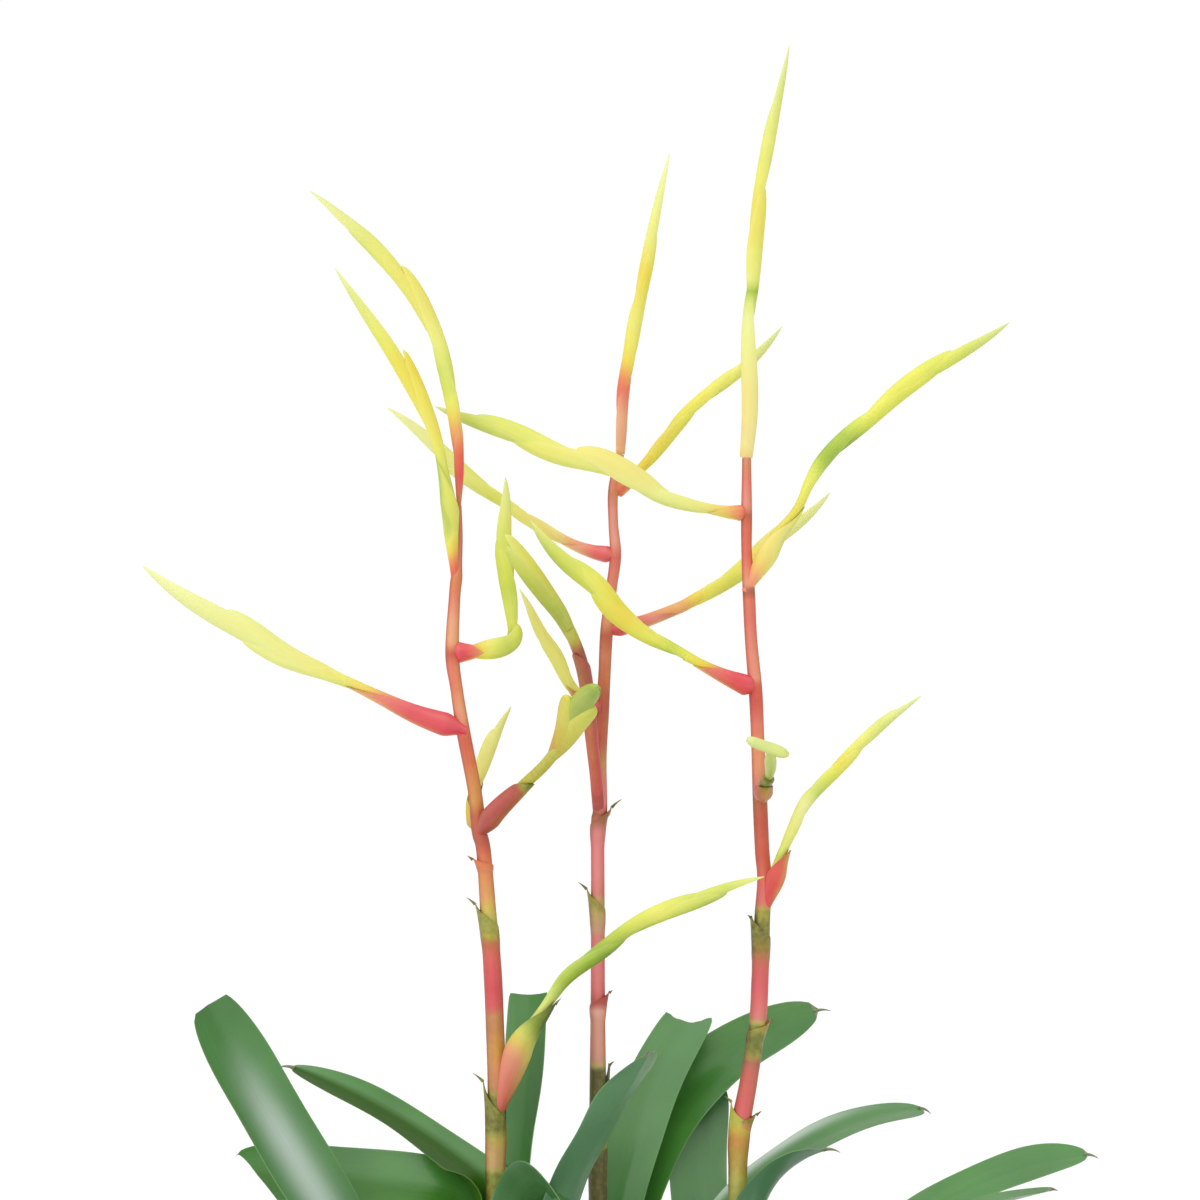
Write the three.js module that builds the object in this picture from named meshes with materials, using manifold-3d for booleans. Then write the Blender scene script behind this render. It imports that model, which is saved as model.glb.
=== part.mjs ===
// A flaming sword bromeliad with branched flower stalks: three leaf rosettes grown from one
// rootstock that is cut flat below, each with a zigzag red stalk whose side spikes are slender
// swords of overlapping boat-shaped bracts.
// Millimetres, +Z up. The plant's front is -Y and its right is +X. The origin is the middle of
// the middle stock's cut face.

import * as THREE from 'three';
import { mergeVertices } from 'three/addons/utils/BufferGeometryUtils.js';
import Module from 'manifold-3d';

const wasm = await Module();
wasm.setup();

// ---------------------------------------------------------------- driving dimensions

const GAP = 0.3; // what neighbouring pieces keep clear of each other
const MERGE_TOLERANCE = 1e-5; // vertices closer than this are one
const LINE_TENSION = 0.5;

// The three rosettes' axes.
const ROSETTES = {
  left: [-47, -34],
  middle: [0, 0],
  right: [63, -14],
};

// Each rosette's stock: a stub with a cone above it that carries the leaf bases.
const STOCK = {
  footRadius: 20,
  waistRadius: 20.5,
  waistHeight: 30,
  topRadius: 5.2,
  topHeight: 66,
  sides: 16,
};
const RHIZOME = { radius: 10, height: 9, sides: 10, steps: 2 };

// Leaf bases stand on the cone in a row from the heart outwards.
const LEAF_BASE = { heartRadius: 7.2, radiusStep: 1.3, clearance: 1.0 };
const LEAF = {
  thickness: 0.85,
  channelRadius: 42,
  footWidth: 0.72,
  shoulder: 0.3,
  tipStart: 0.8,
  tipWidth: 0.9,
  tipPower: 2.4,
  across: 5,
  stations: [0, 0.12, 0.26, 0.4, 0.54, 0.68, 0.8, 0.9, 0.97, 1],
  stepsPerStation: 6,
  twistSpan: [0.08, 0.6],
};

// Leaves from the heart outwards. turn: heading in degrees from +X, counter-clockwise from
// above. sweep: how far the heading has changed at the tip. lean and arch: the angle from
// upright at the foot and past the bend. bend: where along the leaf the arching begins and
// ends. twist: how far the blade has rolled about its own line at the tip.
const LEAVES = {
  left: [
    { turn: 37, sweep: 33, lean: 11, arch: 9, bend: [0, 1], length: 160, width: 24, twist: 0 },
    { turn: 250, sweep: 0, lean: 5, arch: 26, bend: [0, 1], length: 58, width: 20, twist: 0 },
    { turn: 313, sweep: 4, lean: 15, arch: 60, bend: [0, 1.2], length: 170, width: 27, twist: -15 },
    { turn: 138, sweep: 10, lean: 4, arch: 71, bend: [0.36, 0.61], length: 188, width: 26, twist: -10 },
    { turn: 176, sweep: -7, lean: 7, arch: 92, bend: [0.37, 0.6], length: 168, width: 29, twist: -30 },
    { turn: 120, sweep: 0, lean: 26, arch: 120, bend: [0, 1], length: 118, width: 27, twist: 0 },
    { turn: 275, sweep: 12, lean: 12, arch: 135, bend: [0.1, 1.5], length: 162, width: 30, twist: 0 },
    { turn: 183, sweep: 35, lean: 36, arch: 34, bend: [0, 1], length: 222, width: 29, twist: -86 },
    { turn: 236, sweep: 0, lean: 36, arch: 118, bend: [0, 1], length: 140, width: 28, twist: 0 },
  ],
  middle: [
    { turn: 72, sweep: -20, lean: 5, arch: 46, bend: [0, 1], length: 157, width: 31, twist: 15 },
    { turn: 210, sweep: 0, lean: 5, arch: 26, bend: [0, 1], length: 55, width: 20, twist: 0 },
    { turn: 66, sweep: -31, lean: 12, arch: 61, bend: [0, 0.95], length: 196, width: 31, twist: 26 },
    { turn: 270, sweep: 0, lean: 10, arch: 34, bend: [0, 1], length: 58, width: 22, twist: 0 },
    { turn: 327, sweep: 15, lean: 26, arch: 92, bend: [0, 1.3], length: 194, width: 26, twist: -24 },
    { turn: 122, sweep: 0, lean: 20, arch: 122, bend: [0, 1], length: 110, width: 28, twist: 0 },
    { turn: 262, sweep: 0, lean: 24, arch: 118, bend: [0, 1], length: 118, width: 27, twist: 0 },
    { turn: 86, sweep: 0, lean: 28, arch: 118, bend: [0, 1], length: 125, width: 28, twist: 0 },
    { turn: 288, sweep: 0, lean: 32, arch: 118, bend: [0, 1], length: 130, width: 28, twist: 0 },
  ],
  right: [
    { turn: 250, sweep: 0, lean: 4, arch: 26, bend: [0, 1], length: 56, width: 20, twist: 0 },
    { turn: 110, sweep: -6, lean: 31, arch: 42, bend: [0, 1], length: 132, width: 30, twist: 0 },
    { turn: 6, sweep: 0, lean: 14, arch: 34, bend: [0, 1], length: 64, width: 22, twist: 0 },
    { turn: 318, sweep: 0, lean: 20, arch: 70, bend: [0, 1], length: 112, width: 28, twist: 20 },
    { turn: 357, sweep: 0, lean: 33, arch: 122, bend: [0, 1.45], length: 187, width: 28, twist: 30 },
    { turn: 335, sweep: 0, lean: 36, arch: 76, bend: [0, 0.95], length: 164, width: 27, twist: 15 },
    { turn: 60, sweep: 0, lean: 28, arch: 118, bend: [0, 1], length: 125, width: 28, twist: 0 },
    { turn: 292, sweep: 0, lean: 36, arch: 118, bend: [0, 1], length: 128, width: 28, twist: 0 },
    { turn: 256, sweep: 0, lean: 38, arch: 114, bend: [0, 1], length: 112, width: 28, twist: 0 },
  ],
};

// Stalks: points up the middle of each stalk with the stalk's radius there, [x, y, z, radius].
const STALK_SIDES = 8;
const STALK_FOOT = STOCK.topHeight + GAP;
const STALKS = {
  left: [
    [-47, -34, STALK_FOOT, 4.4], [-47, -34, 128, 4.3], [-46, -34, 173, 4.2], [-47, -34, 208, 4.1],
    [-48, -34, 231, 4.1], [-50, -34, 258, 3.8], [-52, -34, 284, 3.5], [-54, -34, 293, 3.6],
    [-56, -34, 311, 3.3], [-61, -34, 337, 3.4], [-64, -34, 356, 2.9], [-66, -34, 372, 3.1],
    [-65, -34, 396, 2.6], [-64, -34, 407, 2.6], [-63, -34, 423, 1.8], [-63, -34, 438, 1.7],
  ],
  middle: [
    [0, 0, STALK_FOOT, 4.4], [-1, 0, 125, 4.2], [-1, 0, 173, 4], [-1, 0, 213, 3.6],
    [-1, 0, 259, 3.4], [-1, 0, 294, 3.2], [0, 0, 301, 3.3], [0, 0, 324, 3],
    [1, 0, 345, 3.1], [2, 0, 362, 2.8], [3, 0, 382, 2.9], [5, 0, 400, 2.5],
    [7, 0, 416, 2.6], [6, 0, 431, 2.2], [6, 0, 446, 2.3], [9, 0, 462, 1.9],
  ],
  right: [
    [63, -14, STALK_FOOT, 4.4], [62, -14, 133, 4.3], [63, -14, 157, 4.4], [67, -14, 180, 4],
    [71, -14, 207, 3.9], [72, -14, 225, 3.9], [73, -14, 252, 3.6], [74, -14, 270, 3.3],
    [73, -14, 283, 3.3], [72, -14, 306, 3.3], [71, -14, 333, 3], [70, -14, 355, 3.1],
    [68, -14, 378, 2.8], [67, -14, 399, 2.8], [66, -14, 418, 2.4], [66, -14, 434, 2.5],
    [66, -14, 460, 2.2],
  ],
};

// Small bracts that clasp the bare part of each stalk: the height of the foot, the height of
// the pointed tip, and the way the tip faces.
const STALK_BRACTS = {
  left: [
    { foot: 134, tip: 182, turn: 180 }, { foot: 240, tip: 262, turn: 180 },
    { foot: 270, tip: 282, turn: 190 },
  ],
  middle: [
    { foot: 125, tip: 185, turn: 20 }, { foot: 205, tip: 222, turn: 0 },
    { foot: 245, tip: 267, turn: 180 }, { foot: 284, tip: 308, turn: 0 },
  ],
  right: [
    { foot: 140, tip: 172, turn: 180 }, { foot: 154, tip: 166, turn: 0 },
    { foot: 192, tip: 210, turn: 20 }, { foot: 232, tip: 258, turn: 200 },
  ],
};
// Each station of a small bract: how far up it is, its radius and its shift to the tip's side,
// both as shares of the stalk's radius.
const STALK_BRACT = {
  wall: 0.5,
  stations: [[0, 0.9, 0], [0.5, 1.05, 0], [0.72, 0.6, 0.55], [1, 0, 1.6]],
};

// Side spikes, from the lowest up. path: points along the spike, starting inside the stalk.
// sheath: where along the path the clasping bract at its foot ends (0 to 1), and how deep that
// bract is; an end spike has none. bracts: where each flower bract starts and ends, the side
// that its keel is on (1 is left of the way the spike grows, seen from the front, -1 is right),
// and its depth. spread: how far a bract's tip stands off the spike's line. fan: the way that
// side 1 faces, for spikes that point at the front.
const SPIKES = {
  left_1: {
    path: [[-47, -34, 162], [-39, -38, 180], [-31, -41, 198], [-24, -43, 215], [-16, -45, 231],
      [0, -47, 245], [18, -48, 257], [40, -47, 265], [73, -42, 273]],
    sheath: [0.37, 5.4],
    bracts: [[0.3, 0.6, 1, 3.4], [0.48, 0.84, -1, 4], [0.62, 1, 1, 3.8]],
    spread: 2,
  },
  left_2: {
    path: [[-54, -34, 292], [-45, -40, 302], [-34, -47, 313], [-24, -60, 324], [-17, -78, 336],
      [-9, -102, 349], [-1, -128, 359]],
    sheath: [0.26, 5.5],
    bracts: [[0.2, 0.74, 1, 4.6], [0.3, 0.84, -1, 4.4], [0.42, 1, 1, 4.6]],
    spread: 7,
    fan: [-0.75, 0, 0.65],
  },
  left_3: {
    path: [[-55, -33, 293], [-56, -25, 306], [-52, -17, 323], [-46, -12, 338], [-40, -9, 348]],
    sheath: [0.42, 4.6],
    bracts: [[0.15, 0.85, 1, 4], [0.3, 1, -1, 4]],
    spread: 1.5,
  },
  left_4: {
    path: [[-61, -34, 338], [-80, -37, 346], [-100, -39, 354], [-120, -40, 362], [-140, -41, 371],
      [-160, -42, 382], [-181, -42, 394], [-204, -40, 411]],
    sheath: [0.3, 5],
    bracts: [[0.22, 0.66, 1, 4.6], [0.36, 0.82, -1, 5], [0.52, 1, 1, 4.6]],
    spread: 5,
  },
  left_5: {
    path: [[-66, -34, 372], [-53, -33, 373], [-41, -31, 378], [-35, -29, 385], [-38, -28, 396],
      [-42, -27, 409], [-44, -26, 423], [-44, -26, 436], [-42, -27, 451]],
    sheath: [0.24, 4.5],
    bracts: [[0.18, 0.72, 1, 3.9], [0.42, 1, -1, 3.9]],
    spread: 2.5,
  },
  left_6: {
    path: [[-64, -34, 406], [-67, -36, 423], [-70, -37, 441], [-73, -38, 460], [-79, -38, 480],
      [-90, -38, 504], [-104, -39, 526], [-118, -40, 544]],
    sheath: [0.36, 5.3],
    bracts: [[0.3, 0.72, -1, 4.8], [0.46, 1, 1, 3.6]],
    spread: 3.5,
  },
  left_7: {
    path: [[-63, -34, 438], [-64, -34, 458], [-66, -34, 480], [-70, -34, 500], [-77, -34, 518],
      [-87, -35, 537], [-100, -36, 554], [-114, -37, 568], [-129, -38, 579]],
    bracts: [[0, 0.28, -1, 3], [0.14, 0.5, 1, 3.6], [0.3, 0.69, -1, 4], [0.52, 1, 1, 4]],
    spread: 3,
  },
  middle_1: {
    path: [[0, 0, 300], [-2, -8, 317], [-4, -16, 335], [-6, -24, 356], [-10, -30, 371],
      [-17, -36, 387], [-23, -42, 399], [-30, -47, 409], [-42, -52, 425]],
    sheath: [0.5, 3.8],
    bracts: [[0.42, 0.84, -1, 4], [0.52, 1, 1, 4.4]],
    spread: 2.5,
  },
  middle_2: {
    path: [[1, 0, 345], [-5, -2, 351], [-11, -4, 359], [-19, -5, 371], [-27, -5, 382],
      [-35, -4, 396]],
    sheath: [0.3, 3.6],
    bracts: [[0.16, 0.8, -1, 3.3], [0.34, 1, 1, 3.2]],
    spread: 1.5,
  },
  middle_3: {
    path: [[3, 0, 382], [18, 3, 386], [34, 6, 391], [43, 8, 395], [66, 12, 407],
      [80, 13, 419], [93, 14, 433], [105, 14, 445]],
    sheath: [0.34, 4],
    bracts: [[0.27, 0.72, -1, 3.8], [0.46, 1, 1, 4.2]],
    spread: 2,
  },
  middle_4: {
    path: [[7, 0, 416], [-4, 3, 420], [-16, 5, 425], [-32, 8, 435], [-48, 9, 445],
      [-61, 9, 455], [-77, 8, 469], [-96, 6, 484]],
    sheath: [0.24, 4.3],
    bracts: [[0.17, 0.56, 1, 3.8], [0.34, 0.8, -1, 3.7], [0.52, 1, 1, 3.5]],
    spread: 2.5,
  },
  middle_5: {
    path: [[6, 0, 445], [14, 4, 451], [23, 6, 460], [36, 8, 477], [52, 9, 492], [66, 9, 504],
      [83, 8, 520]],
    sheath: [0.2, 4],
    bracts: [[0.14, 0.62, -1, 3.5], [0.38, 1, 1, 3.5]],
    spread: 2,
  },
  middle_6: {
    path: [[9, 0, 462], [10, 0, 487], [14, 0, 508], [19, 0, 534], [25, 0, 563], [29, 0, 583],
      [31, 0, 599]],
    bracts: [[0, 0.34, -1, 3.2], [0.14, 0.66, 1, 3.6], [0.34, 1, -1, 3.4]],
    spread: 1,
  },
  right_1: {
    path: [[74, -14, 256], [79, -17, 268], [83, -19, 281], [88, -21, 295], [94, -22, 308],
      [104, -22, 319], [118, -22, 333], [132, -21, 344], [145, -20, 352]],
    sheath: [0.24, 4.5],
    bracts: [[0.18, 0.6, 1, 3.3], [0.4, 1, -1, 3.6]],
    spread: 1.5,
  },
  right_2: {
    path: [[72, -14, 305], [75, -24, 314], [76, -38, 321], [75, -56, 327], [74, -76, 331]],
    sheath: [0.34, 4.2],
    bracts: [[0.26, 0.9, -1, 3.4], [0.34, 1, 1, 3.4]],
    spread: 8,
    fan: [-0.88, 0, 0.48],
  },
  right_3: {
    path: [[70, -14, 355], [58, -18, 360], [47, -20, 366], [34, -22, 373], [20, -24, 381],
      [8, -26, 391], [-3, -28, 402], [-16, -29, 417], [-31, -30, 432]],
    sheath: [0.22, 4.6],
    bracts: [[0.16, 0.5, -1, 3.2], [0.3, 0.72, 1, 4.8], [0.44, 1, -1, 4.8]],
    spread: 3.5,
  },
  right_4: {
    path: [[67, -14, 400], [75, -15, 414], [81, -16, 425], [89, -16, 436], [94, -16, 449],
      [101, -16, 461], [117, -16, 475], [135, -16, 492], [160, -16, 508], [184, -15, 521]],
    sheath: [0.23, 5.5],
    bracts: [[0.18, 0.54, -1, 3.6], [0.38, 0.8, 1, 4.4], [0.54, 1, -1, 4.2]],
    spread: 2,
  },
  right_5: {
    path: [[66, -14, 434], [54, -17, 435], [40, -20, 438], [28, -22, 443], [16, -23, 449],
      [0, -23, 457], [-18, -22, 464], [-36, -21, 470], [-54, -20, 476], [-74, -18, 483]],
    sheath: [0.2, 4.2],
    bracts: [[0.14, 0.54, -1, 4.4], [0.34, 0.82, 1, 4.8], [0.54, 1, -1, 4.4]],
    spread: 3.5,
  },
  right_6: {
    path: [[66, -14, 460], [67, -14, 482], [67, -14, 509], [68, -14, 534], [71, -14, 563],
      [75, -14, 594], [80, -14, 620], [86, -14, 646]],
    bracts: [[0, 0.42, 1, 4], [0.36, 0.72, -1, 3.6], [0.5, 1, 1, 3.3]],
    spread: 1,
  },
};

// A flower bract is a boat: half as thick as it is deep, narrow where it clasps the spike,
// fullest before its middle, and drawn out to a point.
const BRACT = {
  stations: [0, 0.2, 0.45, 0.7, 0.9, 1],
  thickness: 0.62,
  foot: 0.35,
  swell: 2.2,
  taper: 0.75,
  fullest: 0.86,
  point: 0.08,
  sides: 6,
};
const PEDUNCLE = { depth: 2, thickness: 1.7, steps: 3, overlap: 0.1 };
const SHEATH = {
  wall: 0.8,
  footReach: 3,
  tipReach: 3.9,
  wrap: 140,
  tipWrap: 8,
  flatness: 0.8,
  bulgePower: 0.8,
  wrapPower: 2.2,
  steps: 5,
  points: 4,
};

const FINISHES = {
  leaf: { color: 0x3c7a40, roughness: 0.35 },
  stalk: { color: 0xd2604c, roughness: 0.5 },
  spike: { color: 0xd9de5a, roughness: 0.45 },
  stock: { color: 0x6b4f33, roughness: 0.9 },
};

// ---------------------------------------------------------------- solids

/** Turns a closed three.js geometry into a solid that can be joined and cut. */
function solidOf(geometry) {
  const bare = geometry.clone();
  bare.deleteAttribute('normal');
  bare.deleteAttribute('uv');
  const merged = mergeVertices(bare, MERGE_TOLERANCE);
  return new wasm.Manifold(new wasm.Mesh({
    numProp: 3,
    vertProperties: new Float32Array(merged.attributes.position.array),
    triVerts: new Uint32Array(merged.index.array),
  }));
}

/** Turns a solid back into a three.js geometry. */
function geometryOf(solid) {
  const mesh = solid.getMesh();
  const geometry = new THREE.BufferGeometry();
  geometry.setAttribute('position', new THREE.BufferAttribute(mesh.vertProperties, 3));
  geometry.setIndex(new THREE.BufferAttribute(mesh.triVerts, 1));
  geometry.computeVertexNormals();
  return geometry;
}

/**
 * Skins a row of rings. Each ring has the same even number of points, counter-clockwise about
 * the way of travel. The second half of a ring runs back opposite its first half, so that both
 * faces of a blade are split into triangles alike and the two ends are strips.
 */
function loft(rings) {
  const count = rings[0].length;
  const half = count / 2;
  const index = [];
  for (let j = 0; j < rings.length - 1; j += 1) {
    for (let i = 0; i < count; i += 1) {
      const a = j * count + i;
      const b = j * count + ((i + 1) % count);
      const c = b + count;
      const d = a + count;
      if (i < half) {
        index.push(a, b, c, a, c, d);
      } else {
        index.push(a, b, d, b, c, d);
      }
    }
  }
  const last = (rings.length - 1) * count;
  for (let i = 0; i < half - 1; i += 1) {
    const back = count - 1 - i;
    index.push(i, back, back - 1, i, back - 1, i + 1);
    index.push(last + i, last + i + 1, last + back - 1, last + i, last + back - 1, last + back);
  }
  const geometry = new THREE.BufferGeometry().setFromPoints(rings.flat());
  geometry.setIndex(index);
  return geometry;
}

/** Joins a list of solids into one. */
function joined(solids) {
  return solids.reduce((whole, solid) => whole.add(solid));
}

/** Wraps a solid as a named piece of the plant. */
function piece(name, solid, finish) {
  const material = new THREE.MeshStandardMaterial({ ...finish, metalness: 0 });
  const mesh = new THREE.Mesh(geometryOf(solid), material);
  mesh.name = name;
  return mesh;
}

// ---------------------------------------------------------------- lines and frames

/** A smooth line through a list of [x, y, z] points. */
function lineThrough(points) {
  const stops = points.map(([x, y, z]) => new THREE.Vector3(x, y, z));
  return new THREE.CatmullRomCurve3(stops, false, 'catmullrom', LINE_TENSION);
}

/** Three directions at a point of a line: along it, towards side 1 of the fan, and across. */
function frameAt(line, s, fan) {
  const along = line.getTangentAt(s);
  const side = fan
    ? new THREE.Vector3(...fan)
    : new THREE.Vector3().crossVectors(along, new THREE.Vector3(0, 1, 0));
  side.addScaledVector(along, -side.dot(along)).normalize();
  const across = new THREE.Vector3().crossVectors(along, side);
  return { origin: line.getPointAt(s), along, side, across };
}

/** An oval ring in a frame, its middle moved to one side. */
function ovalRing(frame, depth, thickness, sides, shift = 0) {
  const ring = [];
  for (let i = 0; i < sides; i += 1) {
    const angle = (i / sides) * Math.PI * 2;
    ring.push(frame.origin.clone()
      .addScaledVector(frame.side, shift + depth * Math.cos(angle))
      .addScaledVector(frame.across, thickness * Math.sin(angle)));
  }
  return ring;
}

/** A clasping blade's ring: an arc about the frame's origin, outer face out and back inside. */
function claspRing(frame, facing, depth, thickness, wrap, wall, points) {
  const outer = [];
  const inner = [];
  const aside = new THREE.Vector3().crossVectors(frame.along, facing);
  for (let i = 0; i < points; i += 1) {
    const angle = THREE.MathUtils.degToRad(wrap) * ((2 * i) / (points - 1) - 1);
    const spoke = (extra) => frame.origin.clone()
      .addScaledVector(facing, (depth + extra) * Math.cos(angle))
      .addScaledVector(aside, (thickness + extra) * Math.sin(angle));
    outer.push(spoke(wall));
    inner.unshift(spoke(0));
  }
  return outer.concat(inner);
}

// ---------------------------------------------------------------- stalks

/** The bare stalk as a loft through its stations, made thicker all round by grow. */
function stalkTube(name, grow = 0) {
  const stations = STALKS[name];
  const at = (i) => new THREE.Vector3(...stations[i].slice(0, 3));
  const rings = stations.map(([, , , radius], i) => {
    const before = at(Math.max(i - 1, 0));
    const after = at(Math.min(i + 1, stations.length - 1));
    const along = after.sub(before).normalize();
    const side = new THREE.Vector3().crossVectors(new THREE.Vector3(0, 1, 0), along).normalize();
    const across = new THREE.Vector3().crossVectors(along, side);
    const frame = { origin: at(i), along, side, across };
    return ovalRing(frame, radius + grow, radius + grow, STALK_SIDES);
  });
  if (grow > 0) {
    rings[0].forEach((point) => point.setZ(point.z - grow));
    rings[rings.length - 1].forEach((point) => point.setZ(point.z + grow));
  }
  return solidOf(loft(rings));
}

/** Where a stalk's middle is at a height, and its radius there. */
function stalkAt(name, height) {
  const stations = STALKS[name];
  const above = stations.findIndex(([, , z]) => z >= height);
  const low = stations[Math.max(above - 1, 0)];
  const high = stations[above];
  const share = (height - low[2]) / (high[2] - low[2]);
  return low.map((value, i) => value + (high[i] - value) * share);
}

/** A small bract that clasps the stalk and ends in a fine outward point. */
function stalkBract(name, { foot, tip, turn }) {
  const heading = THREE.MathUtils.degToRad(turn);
  const side = new THREE.Vector3(Math.cos(heading), Math.sin(heading), 0);
  const along = new THREE.Vector3(0, 0, 1);
  const across = new THREE.Vector3().crossVectors(along, side);
  const rings = STALK_BRACT.stations.map(([t, share, shift]) => {
    const [x, y, z, radius] = stalkAt(name, foot + (tip - foot) * t);
    const frame = { origin: new THREE.Vector3(x, y, z), along, side, across };
    const reach = radius * share + STALK_BRACT.wall;
    return ovalRing(frame, reach, reach, STALK_SIDES, radius * shift);
  });
  return solidOf(loft(rings));
}

// ---------------------------------------------------------------- spikes

/** The clasping bract at a spike's foot: open above, pointed at its end. */
function spikeSheath(line, [end, depth], fan) {
  const rings = [];
  for (let i = 0; i < SHEATH.steps; i += 1) {
    const t = i / (SHEATH.steps - 1);
    const frame = frameAt(line, end * t, fan);
    const below = new THREE.Vector3(0, 0, -1);
    const facing = below.addScaledVector(frame.along, -below.dot(frame.along)).normalize();
    const straight = SHEATH.footReach + (SHEATH.tipReach - SHEATH.footReach) * t;
    const bulge = (depth - SHEATH.tipReach) * Math.sin(Math.PI * t) ** SHEATH.bulgePower;
    const wrap = SHEATH.tipWrap + (SHEATH.wrap - SHEATH.tipWrap) * (1 - t ** SHEATH.wrapPower);
    const reach = straight + Math.max(bulge, 0);
    const thickness = straight + Math.max(bulge, 0) * SHEATH.flatness;
    rings.push(claspRing(frame, facing, reach, thickness, wrap, SHEATH.wall, SHEATH.points));
  }
  return solidOf(loft(rings));
}

/** One flower bract along a stretch of the spike's line, its tip standing off to its side. */
function flowerBract(line, [start, end, side, depth], spread, fan) {
  const rings = BRACT.stations.map((t) => {
    const frame = frameAt(line, start + (end - start) * t, fan);
    const fullness = (1 - t) ** BRACT.taper * (BRACT.foot + BRACT.swell * t) / BRACT.fullest;
    const reach = depth * Math.max(fullness, BRACT.point);
    const standsOff = end < 1 ? spread * t * t : 0;
    return ovalRing(frame, reach, reach * BRACT.thickness, BRACT.sides, side * standsOff);
  });
  return solidOf(loft(rings));
}

/** A spike's own stem, from the stalk to where its bracts have taken over. */
function peduncle(line, end, fan) {
  const rings = [];
  for (let i = 0; i <= PEDUNCLE.steps; i += 1) {
    const frame = frameAt(line, (end * i) / PEDUNCLE.steps, fan);
    rings.push(ovalRing(frame, PEDUNCLE.depth, PEDUNCLE.thickness, BRACT.sides));
  }
  return solidOf(loft(rings));
}

/** A whole spike: its stem and its row of flower bracts, cut clear of the stalk. */
function spike({ path, bracts, spread, fan }, stalkClearance) {
  const line = lineThrough(path);
  const solids = bracts.map((bract) => flowerBract(line, bract, spread, fan));
  const firstStart = bracts[0][0];
  if (firstStart > 0) {
    solids.push(peduncle(line, firstStart + PEDUNCLE.overlap, fan));
  }
  return joined(solids).subtract(stalkClearance);
}

// ---------------------------------------------------------------- leaves

/** How high the cone of the stock stands at a distance from its axis. */
function coneHeight(radius) {
  const { waistRadius, waistHeight, topRadius, topHeight } = STOCK;
  return topHeight - ((radius - topRadius) * (topHeight - waistHeight)) / (waistRadius - topRadius);
}

/** A leaf's angle from upright at a station, in radians. */
function leafTilt({ lean, arch, bend }, station) {
  const bent = THREE.MathUtils.smoothstep(station, bend[0], bend[1]);
  return THREE.MathUtils.degToRad(lean + (arch - lean) * bent);
}

/** The line of a leaf, station by station, with the angle from upright at each. */
function leafLine(leaf, order, [axisX, axisY]) {
  const radius = LEAF_BASE.heartRadius + LEAF_BASE.radiusStep * order;
  let rho = radius;
  let z = coneHeight(radius - LEAF.thickness / 2) + LEAF_BASE.clearance;
  let reached = 0;
  return LEAF.stations.map((station) => {
    const step = (station - reached) / LEAF.stepsPerStation;
    for (let i = 0; i < LEAF.stepsPerStation; i += 1) {
      const tilt = leafTilt(leaf, reached + step * (i + 0.5));
      rho += Math.sin(tilt) * step * leaf.length;
      z += Math.cos(tilt) * step * leaf.length;
    }
    reached = station;
    const tilt = leafTilt(leaf, station);
    const heading = THREE.MathUtils.degToRad(leaf.turn + leaf.sweep * station ** 2);
    const point = new THREE.Vector3(axisX + rho * Math.cos(heading), axisY + rho * Math.sin(heading), z);
    return { station, rho, tilt, heading, point };
  });
}

/** How wide a leaf is along its length, from the axis line to its edge. */
function leafHalfWidth(leaf, station) {
  const opening = THREE.MathUtils.smoothstep(station, 0, LEAF.shoulder);
  const strap = (leaf.width / 2) * (LEAF.footWidth + (1 - LEAF.footWidth) * opening);
  const past = Math.max(0, (station - LEAF.tipStart) / (1 - LEAF.tipStart));
  return Math.max(strap * Math.sqrt(1 - past ** LEAF.tipPower), LEAF.tipWidth / 2);
}

/** A strap leaf: it wraps the heart at its foot, then opens to a channelled, arching blade. */
function leafBlade(leaf, order, axis) {
  const line = leafLine(leaf, order, axis);
  const rings = line.map(({ station, rho, tilt, heading, point }, j) => {
    const before = line[Math.max(j - 1, 0)].point;
    const after = line[Math.min(j + 1, line.length - 1)].point;
    const along = after.clone().sub(before).normalize();
    const upper = new THREE.Vector3(
      -Math.cos(heading) * Math.cos(tilt),
      -Math.sin(heading) * Math.cos(tilt),
      Math.sin(tilt),
    );
    upper.addScaledVector(along, -upper.dot(along)).normalize();
    const roll = leaf.twist * THREE.MathUtils.smoothstep(station, ...LEAF.twistSpan);
    upper.applyAxisAngle(along, THREE.MathUtils.degToRad(roll));
    const across = new THREE.Vector3().crossVectors(upper, along);
    const curl = Math.max(Math.cos(tilt) / rho, 1 / LEAF.channelRadius);
    const half = leafHalfWidth(leaf, station);
    const lower = [];
    const top = [];
    for (let i = 0; i <= LEAF.across; i += 1) {
      const angle = curl * half * ((2 * i) / LEAF.across - 1);
      const middle = point.clone()
        .addScaledVector(across, Math.sin(angle) / curl)
        .addScaledVector(upper, (1 - Math.cos(angle)) / curl);
      const out = upper.clone().multiplyScalar(Math.cos(angle))
        .addScaledVector(across, -Math.sin(angle));
      lower.push(middle.clone().addScaledVector(out, -LEAF.thickness / 2));
      top.unshift(middle.clone().addScaledVector(out, LEAF.thickness / 2));
    }
    return lower.concat(top);
  });
  return solidOf(loft(rings));
}

// ---------------------------------------------------------------- rootstock

/** One rosette's stock, turned about its axis. */
function stock([x, y]) {
  const profile = [
    [0, 0],
    [STOCK.footRadius, 0],
    [STOCK.waistRadius, STOCK.waistHeight],
    [STOCK.topRadius, STOCK.topHeight],
    [0, STOCK.topHeight],
  ].map(([radius, height]) => new THREE.Vector2(radius, height));
  const lathe = new THREE.LatheGeometry(profile, STOCK.sides);
  lathe.rotateX(Math.PI / 2);
  lathe.translate(x, y, 0);
  return solidOf(lathe);
}

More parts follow.
